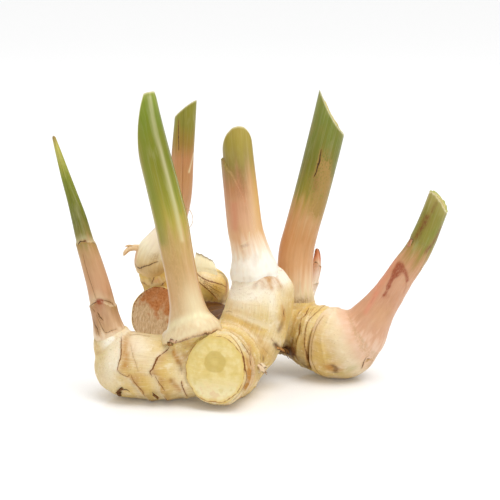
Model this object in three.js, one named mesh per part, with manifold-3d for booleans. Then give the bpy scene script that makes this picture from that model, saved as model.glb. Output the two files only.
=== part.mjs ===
// A piece of fresh galangal root, as it was dug up and trimmed: one grown rhizome that lies on three low
// spots, five cut leafy stems, one young stem that was left whole, and one small side bud.
// Millimetres, +Z up. The origin is under the middle of the whole root, on the surface that it lies on.

import * as THREE from "three";
import { mergeVertices } from "three/addons/utils/BufferGeometryUtils.js";
import Module from "manifold-3d";

const wasm = await Module();
wasm.setup();

// Driving dimensions.
const GAP = 0.3; // clear distance between a stem and the rhizome that it grows out of
const RING_STEP = 0.75; // how far a scale's free edge stands above the next ring
const RING_PITCH = 6.4; // usual distance from one ring to the next
const RING_EDGE = 0.7; // length along the limb over which the surface drops at a ring
const RING_WANDER = 0.5; // how far a ring's edge wanders along the limb
const RING_CLEAR = 1.6; // no other section lies closer to a ring than this
const LUMP = 0.25; // height of the soft lumps on a limb that has rings
const END_FADE = 5; // length at each end over which lumps, rolled edges and slanted rings die out
const FLAT_FADE = 6; // length over which a limb's flat side begins and ends
const FLAT_PRESS = 0.9; // how fully a flat side is pressed flat
const SHEATH_STEP = 0.55; // thickness of a rolled leaf sheath's free edge
const SHEATH_CREASE = 0.05; // turn in radians between that edge and the layer under it
const ORIGIN = new THREE.Vector3(1.4, 6.2, 0); // middle of the root's box, from the design points below

const LIMB_SIDES = 20;
const STEM_SIDES = 18;
const SCRAP_SIDES = 8;
const DOME_PARTS = [0.04, 0.16, 0.36, 0.62]; // where a rounded end gets its sections, in parts of its length
const BLOCK = 400; // side of a cutting block, larger than the whole root

// The ways that a section's angle 0 can face.
const FRONT = [0, -1, 0];
const RIGHT = [1, 0, 0];
const UP = [0, 0, 1];

// Pulls a number into a range from 0 to 1 with soft ends.
function ease(value, from, to) {
  return THREE.MathUtils.smoothstep(value, from, to);
}

// A small repeatable wobble from -1 to 1, different for each seed.
function wobble(value, seed) {
  return 0.6 * Math.sin(value * 1.7 + seed * 2.3) + 0.4 * Math.sin(value * 3.9 + seed * 5.1);
}

// Turns a closed mesh's points and triangles into a solid.
function solidFrom(positions, indices) {
  const geometry = new THREE.BufferGeometry();
  geometry.setAttribute("position", new THREE.Float32BufferAttribute(positions, 3));
  geometry.setIndex(indices);
  return solidOf(geometry);
}

// Turns a geometry into a solid. Only its points count, and points at the same place become one.
function solidOf(geometry) {
  const bare = geometry.clone();
  bare.deleteAttribute("normal");
  bare.deleteAttribute("uv");
  const merged = mergeVertices(bare, 1e-4);
  const mesh = new wasm.Mesh({
    numProp: 3,
    vertProperties: new Float32Array(merged.attributes.position.array),
    triVerts: new Uint32Array(merged.index.array),
  });
  return new wasm.Manifold(mesh);
}

// Distances along a limb at which it gets a section: even steps, and three at each ring's edge.
function stationList(length, rings, domes, step) {
  const stations = [0, length];
  const count = Math.max(2, Math.round(length / step));
  for (let i = 1; i < count; i += 1) {
    const along = (length * i) / count;
    if (!rings.some((ring) => Math.abs(ring - along) < RING_CLEAR)) {
      stations.push(along);
    }
  }
  for (const ring of rings) {
    stations.push(ring - RING_EDGE / 2, ring + RING_EDGE / 2);
  }
  for (const part of DOME_PARTS) {
    if (domes.start) {
      stations.push(domes.start * part);
    }
    if (domes.end) {
      stations.push(length - domes.end * part);
    }
  }
  return stations.filter((s) => s >= 0 && s <= length).sort((a, b) => a - b);
}

// Height of the scales' relief at a distance along the limb: it climbs to each ring's edge and drops past it.
function ringRelief(along, rings, height) {
  if (rings.length === 0) {
    return 0;
  }
  let before = rings[0] - RING_PITCH;
  let after = rings[rings.length - 1] + RING_PITCH;
  for (const ring of rings) {
    if (ring <= along) {
      before = ring;
    }
  }
  for (const ring of [...rings].reverse()) {
    if (ring > along) {
      after = ring;
    }
  }
  const part = THREE.MathUtils.clamp((along - before) / (after - before), 0, 1);
  return height * part * part;
}

// How much of the full radius is left near a rounded end.
function domeFactor(along, length, domes) {
  let factor = 1;
  if (domes.start && along < domes.start) {
    factor *= Math.sqrt(Math.max(0, 1 - (1 - along / domes.start) ** 2));
  }
  if (domes.end && along > length - domes.end) {
    factor *= Math.sqrt(Math.max(0, 1 - (1 - (length - along) / domes.end) ** 2));
  }
  return factor;
}

// The radius where a limb is flat on one side: it stays inside the flat, a straight line across the section.
function flattened(radius, along, angle, { from, to, facing, share }) {
  const turn = Math.cos(angle - THREE.MathUtils.degToRad(facing));
  if (turn <= 0) {
    return radius;
  }
  const pressed = FLAT_PRESS * ease(along, from, from + FLAT_FADE) * (1 - ease(along, to - FLAT_FADE, to));
  return radius - pressed * Math.max(0, radius - (share * radius) / turn);
}

// Sweeps a section along a smooth line through the keys, each [x, y, z, radius].
// side:   the way that angle 0 of the section faces; oval: radius factors along side and across it
// rings:  distances along the line of the scales' edges; lean: how far they run ahead on the side's face
// wrap:   height of a rolled sheath's long free edge, which starts at angle wrapAt and turns by wrapTurn
// flat:   a flat side from one distance to another, the angle that it faces, and its share of the radius
// domes:  lengths of the rounded start and end; grow: how much fatter the whole solid is made
function sweep(spec, grow = 0) {
  const { keys, side, oval = [1, 1], rings = [], lean = 0, step = 5, sides = LIMB_SIDES } = spec;
  const { wrap = 0, wrapAt = 0, wrapTurn = 0, domes = {}, relief = RING_STEP, flat, seed = 1 } = spec;
  const line = new THREE.CatmullRomCurve3(
    keys.map(([x, y, z]) => new THREE.Vector3(x, y, z)), false, "catmullrom", 0.5);
  const radii = new THREE.CatmullRomCurve3(
    keys.map((key) => new THREE.Vector3(key[3], 0, 0)), false, "catmullrom", 0.5);
  line.arcLengthDivisions = 400;
  const length = line.getLength();
  const stations = stationList(length, rings, domes, step);
  const positions = [];
  const sideAxis = new THREE.Vector3(...side);

  const place = (along, offset, angle) => {
    const fade = ease(along, 0, END_FADE) * ease(length - along, 0, END_FADE);
    const at = THREE.MathUtils.clamp(along + offset * fade, 0, length);
    const tangent = line.getTangentAt(at / length);
    const centre = line.getPointAt(at / length);
    if (along === 0) {
      centre.addScaledVector(tangent, -grow);
    }
    const across = sideAxis.clone().addScaledVector(tangent, -sideAxis.dot(tangent)).normalize();
    const square = tangent.clone().cross(across);
    const t = line.getUtoTmapping(at / length);
    const rolled = wrap * (1 - THREE.MathUtils.euclideanModulo(angle, 2 * Math.PI) / (2 * Math.PI));
    const raised = rings.length ? ringRelief(along, rings, relief) : 0;
    const lumps = rings.length ? LUMP * wobble(angle * 2 + along * 0.35, seed) * fade : 0;
    const turned = angle + wrapAt + (wrapTurn * along) / length;
    let radius = (radii.getPoint(t).x + raised + lumps + rolled * fade) * domeFactor(along, length, domes);
    if (flat) {
      radius = flattened(radius, along, turned, flat);
    }
    return centre
      .addScaledVector(across, (radius * oval[0] + grow) * Math.cos(turned))
      .addScaledVector(square, (radius * oval[1] + grow) * Math.sin(turned));
  };

  for (const [index, along] of stations.entries()) {
    for (let j = 0; j < sides; j += 1) {
      const last = wrap && j === sides - 1;
      const angle = last ? 2 * Math.PI - SHEATH_CREASE : (2 * Math.PI * j) / (sides - (wrap ? 1 : 0));
      const wander = rings.length ? RING_WANDER * wobble(angle + index, seed) : 0;
      const offset = lean * Math.cos(angle) + wander;
      positions.push(...place(along, offset, angle).toArray());
    }
  }
  const indices = [];
  for (let i = 0; i < stations.length - 1; i += 1) {
    for (let j = 0; j < sides; j += 1) {
      const a = i * sides + j;
      const b = i * sides + ((j + 1) % sides);
      indices.push(a, b, a + sides, b, b + sides, a + sides);
    }
  }
  const startMid = positions.length / 3;
  const startPoint = line.getPointAt(0).addScaledVector(line.getTangentAt(0), -grow);
  positions.push(...startPoint.toArray(), ...line.getPointAt(1).toArray());
  const lastRow = (stations.length - 1) * sides;
  for (let j = 0; j < sides; j += 1) {
    const next = (j + 1) % sides;
    indices.push(startMid, next, j, startMid + 1, lastRow + j, lastRow + next);
  }
  return solidFrom(positions, indices);
}

// A block that fills everything on the far side of a plane.
function beyond(point, normal) {
  const block = new THREE.BoxGeometry(BLOCK, BLOCK, BLOCK);
  block.translate(0, 0, BLOCK / 2);
  block.applyQuaternion(
    new THREE.Quaternion().setFromUnitVectors(new THREE.Vector3(0, 0, 1), normal.clone().normalize()));
  block.translate(point.x, point.y, point.z);
  return solidOf(block);
}

// Cuts a stem with a slanting knife stroke. at: where the stroke crosses the stem's middle line; along: the
// stem's direction there; high: the way that the cut's high tip faces, in degrees from the front (-Y)
// towards the right (+X); slope: rise of the cut per millimetre across the stem.
function slantCut(solid, { at, along, high, slope }) {
  const axis = new THREE.Vector3(...along).normalize();
  const turn = THREE.MathUtils.degToRad(high);
  const tipWay = new THREE.Vector3(Math.sin(turn), -Math.cos(turn), 0);
  tipWay.addScaledVector(axis, -tipWay.dot(axis)).normalize();
  const normal = axis.clone().addScaledVector(tipWay, -slope);
  return solid.subtract(beyond(new THREE.Vector3(...at), normal));
}

// Ring distances from the first to the last, with a little unevenness.
function ringsFrom(first, last, pitch, seed) {
  const rings = [];
  let along = first;
  while (along <= last) {
    rings.push(along);
    along += pitch * (1 + 0.16 * wobble(along, seed));
  }
  return rings;
}

// The rhizome: every limb that is part of the one grown body.
const limbs = {
  front: {
    keys: [[-14, -29, 15.6, 12.6], [-26, -29.5, 14.8, 13.2], [-37, -29, 14.2, 13.9], [-47, -27.5, 14.2, 14.2],
      [-55, -26, 14.4, 14.2], [-62, -25.5, 15.0, 13.2], [-68.6, -25.5, 16.2, 12.4]],
    side: FRONT, lean: 5, rings: [13, 26, 33, 42], domes: { end: 13 }, seed: 1,
  },
  elbow: {
    keys: [[-52, -25, 16, 12.6], [-56.2, -25, 18.4, 12], [-59.2, -25.5, 23.6, 9.9], [-61, -26, 29.6, 7.9]],
    side: FRONT, step: 3, seed: 2,
  },
  stub: {
    keys: [[-4.5, -6, 15.4, 14.6], [-8.5, -20, 14.9, 14.8], [-11.5, -32, 16, 14], [-14.9, -44.2, 18.5, 13.2]],
    side: RIGHT, oval: [1.02, 1.14], rings: [20, 30, 35.5], lean: 1.5, seed: 3,
  },
  frontSeat: {
    keys: [[-23.4, -29, 12, 11.5], [-24.2, -30.5, 22, 13], [-25.2, -31, 34, 12.2]],
    side: FRONT, seatOf: "shoot_front_green", seed: 4,
  },
  centre: {
    keys: [[-7.5, -12, 14.6, 14.2], [-2.4, -11, 18.6, 15.0], [2.5, -8, 28.6, 15.4], [4.6, -5.5, 38, 15.2],
      [4, -4.5, 45.2, 13.2], [2.3, -4.2, 50.6, 10.9]],
    side: FRONT, lean: -2.5, rings: ringsFrom(14, 42, 8.5, 5), seed: 5,
    flat: { from: 16, to: 44, facing: 62, share: 0.86 },
  },
  right: {
    keys: [[-1, 0, 20.4, 11.6], [11.5, 11.5, 19.6, 11.8], [20.6, 11.6, 18.7, 12.5], [27.2, 8.8, 17.4, 14.2],
      [34, 4.2, 16.4, 15.5]],
    side: FRONT, lean: -1, rings: ringsFrom(9, 36, 5.4, 6), seed: 6,
  },
  rightSeat: {
    keys: [[21.6, 14, 18, 8.2], [21.6, 15.4, 27, 8.4], [21.5, 16, 32.0, 8.8]],
    side: FRONT, seed: 7,
  },
  budSeat: {
    keys: [[22, 14, 17, 6.4], [24.6, 21, 22.6, 4.6], [26.8, 25.6, 29.2, 3.1]],
    side: FRONT, sides: 12, step: 4, seed: 8,
  },
  bridge: {
    keys: [[-5, -8, 15.8, 12.4], [-13, 9, 15.4, 13.2], [-20.5, 27, 14.4, 13.2], [-30, 43, 12.2, 12.6],
      [-37, 55, 11.6, 11.6]],
    side: UP, rings: ringsFrom(14, 60, 7.4, 9), lean: 2, domes: { end: 9 }, seed: 9,
  },
  stump: {
    keys: [[-30, 50, 12.8, 12.0], [-40.6, 46, 15.8, 12.8], [-45.2, 36.4, 18.9, 13.4]],
    side: FRONT, rings: [6, 12.5], oval: [1, 1.05], seed: 10,
  },
  barrel: {
    keys: [[-33, 46, 16, 9.6], [-25.6, 40, 23.4, 11.0], [-21.2, 36.4, 30.2, 11.2], [-18.9, 34.0, 37.4, 8.8],
      [-17.6, 32.8, 41.0, 6.2]],
    side: FRONT, lean: 2, rings: ringsFrom(13, 26, 4.6, 11), domes: { end: 3 }, seed: 11,
  },
  neck: {
    keys: [[-38.6, 50, 15, 10.0], [-42.4, 48, 26, 8.6], [-45.6, 45.2, 34.4, 7.2], [-47.5, 43.2, 40.4, 7.2]],
    side: FRONT, rings: [12, 17.5, 23.5], lean: 1.5, seed: 12,
  },
};

// What small things stand out of the rhizome: root stubs, dried scale tips and torn scale edges.
// Each runs from a sunk start to a free end, with the wide way of a scale across its own line.
const scraps = [
  { keys: [[7, -10, 20, 2.9], [11.6, -18.2, 22.6, 2.5], [12.4, -19.8, 23.0, 1.9]], side: UP },
  { keys: [[1.6, -12, 13, 2.6], [5.0, -16.6, 11.0, 1.8], [6.6, -18.4, 9.6, 0.8]], side: UP },
  {
    keys: [[-19.6, 34, 37, 3], [-20.4, 30.6, 44.6, 2.3], [-21.6, 29.4, 50.8, 0.9]],
    side: RIGHT, oval: [1.4, 0.4],
  },
  {
    keys: [[-54, -34, 8, 2.6], [-56.0, -37.8, 5.8, 1.9], [-56.8, -39.2, 5.2, 0.9]],
    side: RIGHT, oval: [1.3, 0.5],
  },
  {
    keys: [[-39, -36, 7, 2.6], [-40.4, -40.0, 4.4, 1.9], [-40.8, -41.4, 3.8, 0.9]],
    side: RIGHT, oval: [1.3, 0.5],
  },
  { keys: [[11, -8, 26, 3], [15.6, -16.2, 29.2, 2.4], [16.4, -17.6, 29.8, 1.7]], side: UP },
  { keys: [[-10, 16, 16, 3], [-1.6, 20.2, 14.4, 2.3], [0.2, 21.0, 14.0, 1.7]], side: UP },
  { keys: [[-26, 50, 14, 3], [-21.0, 57.8, 11.8, 2.2], [-20.0, 59.2, 11.4, 1.6]], side: UP },
  { keys: [[24, 14, 16, 3], [28.4, 21.6, 11.4, 2.2], [29.2, 22.8, 10.6, 1.6]], side: UP },
  { keys: [[-64, -22, 14, 3], [-66.2, -14.6, 10.4, 2.2], [-66.6, -13.2, 9.8, 1.6]], side: UP },
  { keys: [[0, 2, 26, 3], [2.4, 8.8, 32.4, 2.2], [2.8, 10.2, 33.6, 1.5]], side: UP },
];

// The stems. Each stands on its own seat on the rhizome, and what is above the knife stroke is gone.
const stems = {
  shoot_left_spear: {
    keys: [[-61.6, -26, 29.9, 7.2], [-62.4, -26, 33.6, 6.3], [-63.5, -26, 38.6, 5.6],
      [-65.8, -25.2, 49.7, 4.9], [-68.3, -24.4, 58.9, 4.4], [-71.3, -23.4, 69.0, 3.7],
      [-73.9, -22.4, 79.7, 3.15], [-76.3, -21.4, 88, 2.5], [-79.6, -20, 98.5, 1.8],
      [-84.4, -18, 115, 0.5]],
    side: FRONT, rings: [10.5, 42], relief: 0.5, lean: 2.5, step: 6, domes: { end: 1.2 }, seed: 21,
  },
  shoot_front_green: {
    keys: [[-24.4, -31, 23, 13.2], [-24.9, -31, 29, 12.8], [-25.3, -31.2, 33, 11.5], [-26.4, -31, 37.7, 8.9],
      [-27.4, -30.6, 43.2, 7.3], [-28.6, -30, 49.7, 6.65], [-30.2, -29, 58.4, 6.45], [-31.8, -28, 67, 6.6],
      [-34, -26, 79.8, 6.85], [-37.3, -24, 93.4, 6.7], [-40.9, -22, 107.8, 6.5], [-43.9, -20.4, 121.3, 6.2],
      [-47.1, -18.6, 137, 5.9]],
    side: FRONT, step: 7, wrap: SHEATH_STEP, wrapAt: 1.6, wrapTurn: 0.5,
    seat: { at: [-25, -31, 27.9], normal: [-0.25, 0.3, 1] },
    cut: { at: [-42.8, -20.7, 116.9], along: [-0.2, 0.12, 0.97], high: 45, slope: 3.05 },
    blunt: { at: [-45.6, -19.2, 132.8], along: [-0.2, 0.12, 0.97], high: 45, slope: 0.1 },
  },
  shoot_back: {
    keys: [[-47.6, 43.2, 40.7, 7.7], [-47.4, 42.4, 44, 8.2], [-46, 42, 48.6, 7.9], [-43.2, 42, 53, 6.9],
      [-39.4, 42.4, 58.4, 5.9], [-36.4, 43, 64, 5.4], [-33.4, 45, 76, 5.1], [-32, 48, 97, 5.0],
      [-30.8, 50, 112, 4.75], [-29.5, 51.4, 130, 4.5]],
    side: FRONT, step: 7, wrap: SHEATH_STEP, wrapAt: 0.6, wrapTurn: -0.8,
    cut: { at: [-30.4, 50.2, 116.6], along: [0.08, 0.1, 0.99], high: 75, slope: 0.92 },
  },
  shoot_middle: {
    keys: [[2.3, -4.2, 50.9, 10.9], [1.9, -4.2, 54, 9.8], [1.1, -4, 59, 8.1], [-0.4, -4, 65.6, 7.2],
      [-1.8, -4, 72.5, 6.9], [-3.5, -4, 88.4, 6.6], [-4.9, -3.4, 101.7, 6.4], [-5.8, -3, 112.8, 6.2],
      [-6.6, -2.6, 126, 6]],
    side: FRONT, step: 7, wrap: SHEATH_STEP, wrapAt: -1.3, wrapTurn: -0.3,
    cut: { at: [-5.2, -3.2, 107.2], along: [-0.08, 0.03, 0.99], high: 8, slope: 1.6 },
  },
  shoot_right_green: {
    keys: [[21.5, 16, 32.4, 8.7], [21.1, 16, 37, 8.3], [20.9, 16, 42, 8.1], [21.5, 17, 54.8, 7.85],
      [23.8, 18, 65, 7.6], [28.1, 20, 80.6, 7.7], [32.7, 22, 98.9, 7.7], [36.1, 24, 112.9, 7.6],
      [41, 26.4, 134, 7.4]],
    side: FRONT, step: 7, wrap: SHEATH_STEP, wrapAt: 0.5, wrapTurn: 0.7,
    cut: { at: [37.4, 24.6, 118.6], along: [0.24, 0.13, 0.96], high: -94, slope: 1.08 },
  },
  shoot_right_pink: {
    keys: [[44.3, 0.4, 17, 12.6], [50, -0.8, 20.6, 12.3], [54.4, -1.5, 27.4, 10.0], [58.7, -1.8, 33.8, 8.3],
      [63.7, -1.6, 41.5, 7.1], [68.6, -1, 49.6, 6.7], [74.2, -0.6, 57.8, 6.1], [78.1, -0.2, 65.6, 5.7],
      [81.9, 0.2, 75.6, 5.3], [85.6, 0.4, 86.6, 5.1]],
    side: FRONT, step: 6, wrap: 0.35, wrapAt: 2.2, wrapTurn: -0.6,
    cut: { at: [84.3, 0.3, 82.3], along: [0.36, 0.02, 0.93], high: -104, slope: 0.56 },
  },
  side_bud: {
    keys: [[27, 26, 29.6, 2.9], [28.4, 26.8, 34.4, 2.6], [30.2, 27, 40.6, 2.3], [31.2, 26.6, 46.6, 1.8],
      [31.5, 26.4, 51, 1.3], [31.3, 26.2, 54.3, 0.6]],
    side: FRONT, sides: 12, step: 4, domes: { end: 1 },
  },
};

// What is grown to a stem: the thin root on the swollen base of the back stem, and the pale bulb that the
// right stem rises from.
const grownTo = {};
grownTo.shoot_back = {
  keys: [[-46, 42, 47.5, 2.4], [-52.8, 41.6, 49.7, 1.9], [-56.5, 41, 50.3, 1.5], [-58.9, 40, 50, 1.3],
    [-61, 39, 47.8, 0.8]],
  side: FRONT, sides: 10, step: 2.5,
};
grownTo.shoot_right_pink = {
  keys: [[34.3, 4, 16.3, 15.7], [38.5, 1.9, 15.9, 16.2], [43, 0.6, 16.0, 16.3], [48, -0.4, 17.6, 14.9],
    [53, -1, 19.6, 13.2], [57.6, -1.4, 21.8, 11.6]],
  side: FRONT, sides: 24, step: 4, domes: { end: 11 },
};

const ground = beyond(new THREE.Vector3(0, 0, 0), new THREE.Vector3(0, 0, -1));

// The block on one side of the slanted plane that a stem stands on: below it for way -1, above it for way 1.
function seatBlock({ at, normal }, way, shift) {
  const up = new THREE.Vector3(...normal).normalize();
  return beyond(new THREE.Vector3(...at).addScaledVector(up, -shift), up.multiplyScalar(way));
}

// Builds a stem, cut off where the knife went through it and flat where it lies on the surface.
function buildStem(name, spec, grow = 0) {
  let solid = sweep({ sides: STEM_SIDES, ...spec }, grow);
  if (grownTo[name]) {
    solid = solid.add(sweep(grownTo[name], grow));
  }
  if (spec.seat) {
    solid = solid.subtract(seatBlock(spec.seat, -1, grow));
  }
  if (spec.cut) {
    solid = slantCut(solid, spec.cut);
  }
  if (spec.blunt) {
    solid = slantCut(solid, spec.blunt);
  }
  return grow > 0 ? solid : solid.subtract(ground);
}

// Keeps the largest body and drops loose scraps that a cut has left.
function largestBody(solid) {
  const bodies = solid.decompose();
  bodies.sort((a, b) => b.volume() - a.volume());
  return bodies[0];
}

function buildRhizome() {
  let solid = null;
  for (const spec of Object.values(limbs)) {
    let limb = sweep(spec);
    if (spec.seatOf) {
      limb = limb.subtract(seatBlock(stems[spec.seatOf].seat, 1, GAP));
    }
    solid = solid ? solid.add(limb) : limb;
  }
  for (const spec of scraps) {
    solid = solid.add(sweep({ sides: SCRAP_SIDES, step: 4, ...spec }));
  }
  for (const [name, spec] of Object.entries(stems)) {
    solid = solid.subtract(buildStem(name, spec, GAP));
  }
  return largestBody(solid.subtract(ground));
}

// Each node's plain colour and roughness.
const finishes = {
  rhizome: [0xe9d7a2, 0.55],
  shoot_left_spear: [0xc49a6a, 0.5],
  shoot_front_green: [0x9fa64a, 0.38],
  shoot_back: [0xc9a276, 0.45],
  shoot_middle: [0xd9b184, 0.45],
  shoot_right_green: [0xa9a561, 0.42],
  shoot_right_pink: [0xe3b79a, 0.42],
  side_bud: [0xd99f86, 0.5],
};

// Wraps a solid as a named mesh, with its own material.
function meshOf(name, solid) {
  const { vertProperties, triVerts } = solid.getMesh();
  const geometry = new THREE.BufferGeometry();
  geometry.setAttribute("position", new THREE.Float32BufferAttribute(vertProperties, 3));
  geometry.setIndex(Array.from(triVerts));
  geometry.computeVertexNormals();
  const [color, roughness] = finishes[name];
  const mesh = new THREE.Mesh(geometry, new THREE.MeshStandardMaterial({ color, roughness, metalness: 0 }));
  mesh.name = name;
  return mesh;
}

const root = new THREE.Group();
root.add(meshOf("rhizome", buildRhizome()));
for (const [name, spec] of Object.entries(stems)) {
  root.add(meshOf(name, largestBody(buildStem(name, spec))));
}
root.position.copy(ORIGIN).negate();

export default root;
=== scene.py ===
"""Galangal root: the finish of one freshly dug and trimmed piece, with its cut stems.

Lengths are in millimetres in the numpy parts and turned to metres when a mesh is written. The keys of the limbs
and stems are the part's own, so each finer piece lies where the plain solid lies.
"""
import itertools
import math

import bpy
import numpy as np
from bpy.props import FloatProperty, FloatVectorProperty, IntProperty, PointerProperty
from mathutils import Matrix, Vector


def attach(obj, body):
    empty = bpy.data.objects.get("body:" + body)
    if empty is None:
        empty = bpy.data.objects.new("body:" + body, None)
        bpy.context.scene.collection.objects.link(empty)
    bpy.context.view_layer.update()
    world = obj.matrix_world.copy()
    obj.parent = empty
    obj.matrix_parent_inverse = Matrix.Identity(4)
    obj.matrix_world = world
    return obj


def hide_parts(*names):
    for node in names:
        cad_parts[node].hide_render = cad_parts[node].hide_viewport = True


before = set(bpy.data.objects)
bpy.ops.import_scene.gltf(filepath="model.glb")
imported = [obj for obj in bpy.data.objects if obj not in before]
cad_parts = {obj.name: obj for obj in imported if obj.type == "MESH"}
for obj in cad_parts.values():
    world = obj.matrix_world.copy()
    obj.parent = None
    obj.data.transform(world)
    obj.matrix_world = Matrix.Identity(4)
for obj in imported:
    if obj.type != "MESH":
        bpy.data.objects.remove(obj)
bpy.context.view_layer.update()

bl_info = {
    "name": "Galangal root",
    "version": (1, 0, 0),
    "blender": (4, 5, 0),
    "location": "3D View > Sidebar > Galangal",
    "description": "Makes a galangal root with its rhizome, cut stems, young spear and side bud",
    "category": "Add Mesh",
}

MM = 0.001
ORIGIN = np.array([1.4, 6.2, 0.0])  # middle of the root's box, from the points below
FRONT = (0.0, -1.0, 0.0)
RIGHT = (1.0, 0.0, 0.0)
UP = (0.0, 0.0, 1.0)
TURN = 2 * math.pi
SHEATH_STEP = 0.55         # thickness of a rolled leaf sheath's free edge
CORE_INSET = 0.8           # how far a limb's core stays inside the stem that wraps it
STEM_RELIEF = 0.45         # height of a scale edge on a stem
SAWN_RELIEF = 0.75         # height of a scale edge next to a sawn end
BULB_VOXEL = 0.55          # edge length of the bulb's mesh
BULB_ROUNDS = 29           # rounds of smoothing that the bulb has beyond the rhizome's
FAR = 99.0                 # farther than any mark reaches
NO_LINE = (9.0, 0.0, 0.0)  # distance, half width and strength where no crisp line is near
SKIN_SEED, BULB_SEED, SCALE_SEED = 5, 9, 80
HASHES = (73856093, 19349663, 83492791, 668265263)  # primes that tell lattice corners and seeds apart
STIRS = (2246822519, 3266489917)                    # odd numbers that stir a hash's bits

VIEW_TILT = 14.0        # degrees that the camera looks down
VIEW_DISTANCE = 0.65    # metres from the camera to the point that it aims at
VIEW_PIXELS = 500
VIEW_FOCAL = 1444.4     # focal length in picture pixels
SENSOR = 36.0           # sensor width in millimetres
AIM = (0.0, 0.0, 60.0)  # point aimed at, in the part's design millimetres

# Each limb: keys [x, y, z, radius], the way that angle 0 faces, oval factors, the length of a rounded end, and its
# scale edges as (darkness of the edge line, points of (angle in degrees, distance along the limb)).
LIMBS = {
    "front": dict(
        keys=[[-14, -29, 15.6, 12.6], [-26, -29.5, 14.8, 13.2], [-37, -29, 14.2, 13.9], [-47, -27.5, 14.2, 14.2],
              [-55, -26, 14.4, 14.2], [-62, -25.5, 15.0, 13.2], [-68.6, -25.5, 16.2, 12.4]],
        dome=13, seed=1, lead=3.0,
        edges=[(0.3, [(-49, 14.2), (-5, 15.7), (22, 16), (90, 14), (180, 15)]),
               (1.0, [(-90, 22), (-52, 22), (-16, 23.5), (2, 24.2), (8, 27), (37, 24.2), (52, 19.1), (75, 16),
               (180, 20)]),
               (1.0, [(-90, 28), (-52, 29), (-18, 32.6), (-3, 35.0), (9, 41.5), (57, 41.4), (81, 39.6), (180, 34)])]),
    "elbow": dict(
        keys=[[-52, -25, 16, 12.6], [-56.2, -25, 18.4, 12], [-59.2, -25.5, 23.6, 9.9], [-61.0, -26, 29.6, 7.9]],
        seed=2, edges=[]),
    "stub": dict(
        keys=[[-4.5, -6, 15.4, 14.6], [-8.5, -20, 14.9, 14.8], [-11.5, -32, 16.0, 14.0], [-14.9, -44.2, 18.5, 13.2]],
        side=RIGHT, oval=(1.02, 1.14), seed=3, heart=3.2,
        edges=[(0.4, [(0, 20)]), (0.7, [(0, 30)]), (0.8, [(0, 35.2)])]),
    "frontSeat": dict(
        keys=[[-23.4, -29, 12, 11.5], [-24.2, -30.5, 22, 13.0], [-24.9, -31, 28, 12.2]], seed=4, edges=[]),
    "centre": dict(
        keys=[[-7.5, -12, 14.6, 14.2], [-2.4, -11, 18.6, 15.0], [2.5, -8, 28.6, 15.4], [4.6, -5.5, 38, 15.2],
              [4.0, -4.5, 45.2, 13.2], [2.3, -4.2, 50.6, 10.9], [1.9, -4.2, 54.2, 9.2]],
        seed=5, step=0.3, lead=1.0, flats=[(16, 44, 62, 0.86)],
        edges=[(0.2, [(-48, 12), (-18, 12.6), (9, 10), (60, 8), (180, 10)]),
               (0.12, [(-120, 19), (-61, 18.7), (-14, 17.5), (17, 16.9), (60, 12), (120, 14), (180, 17)]),
               (0.25, [(-61, 38), (0, 38.6), (14, 39.6), (50, 40), (120, 37), (180, 37)])]),
    "right": dict(
        keys=[[-1, 0, 20.4, 11.6], [11.5, 11.5, 19.6, 11.8], [20.6, 11.6, 18.7, 12.5], [27.2, 8.8, 17.4, 14.2],
              [34, 4.2, 16.4, 15.5]],
        seed=6, step=0.6, edges=[(0.6, [(0, along)]) for along in (9.0, 14.6, 19.6, 24.6)]
        + [(0.5, [(0, 28.6)]), (0.4, [(0, 33.4)]), (0.3, [(0, 37.0)])]),
    "rightSeat": dict(
        keys=[[21.6, 14, 18, 8.2], [21.6, 15.4, 27, 8.4], [21.5, 16, 32.0, 8.8]], seed=7, edges=[]),
    "budSeat": dict(
        keys=[[22, 14, 17, 6.4], [24.6, 21, 22.6, 4.6], [26.8, 25.6, 29.2, 3.1]], seed=8, edges=[]),
    "bridge": dict(
        keys=[[-5, -8, 15.8, 12.4], [-13, 9, 15.4, 13.2], [-20.5, 27, 14.4, 13.2], [-30, 43, 12.2, 12.6],
              [-37, 55, 11.6, 11.6]],
        side=UP, dome=9, seed=9,
        edges=[(0.8, [(0, along)]) for along in (14.0, 21.0, 28.6, 35.4, 42.8, 49.6, 56.6)]),
    "stump": dict(
        keys=[[-30, 50, 12.8, 12.0], [-40.6, 46, 15.8, 12.8], [-45.2, 36.4, 18.9, 13.4]],
        oval=(1, 1.05), seed=10, edges=[(0.5, [(0, 6)]), (0.6, [(0, 12.5)])]),
    "barrel": dict(
        keys=[[-33, 46, 16, 9.6], [-25.6, 40, 23.4, 11.0], [-21.2, 36.4, 30.2, 11.2], [-18.9, 34.0, 37.4, 9.3],
              [-17.6, 32.8, 41.6, 6.9]],
        dome=3, seed=11, step=0.5,
        edges=[(0.3, [(0, 12)]), (0.35, [(0, 17)]),
               (0.3, [(-60, 25), (0, 23.4), (40, 20), (180, 21)]),
               (0.5, [(-60, 30.2), (-18, 29.5), (5, 28.1), (32, 24.6), (60, 23.5), (180, 26)])]),
    "neck": dict(
        keys=[[-38.6, 50, 15, 10.0], [-42.4, 48, 26, 8.6], [-45.6, 45.2, 34.4, 7.2], [-47.5, 43.2, 40.4, 7.2]],
        seed=12, step=0.6, edges=[(0.4, [(0, 12)]), (0.5, [(0, 17.5)]), (0.7, [(-60, 23.6), (30, 21.6), (180, 22)])]),
}
BULB = dict(
    keys=[[34.3, 4, 16.3, 15.7], [38.5, 1.9, 15.9, 16.2], [43, 0.6, 16.0, 16.3], [48, -0.4, 17.6, 14.9],
          [53, -1, 19.6, 13.2], [57.6, -1.4, 21.8, 11.6]],
    dome=11, seed=13, step=0.5,
    edges=[(0.12, [(-67, 4.6), (-20, 4.2), (20, 5.4), (60, 5), (180, 4)])])

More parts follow.
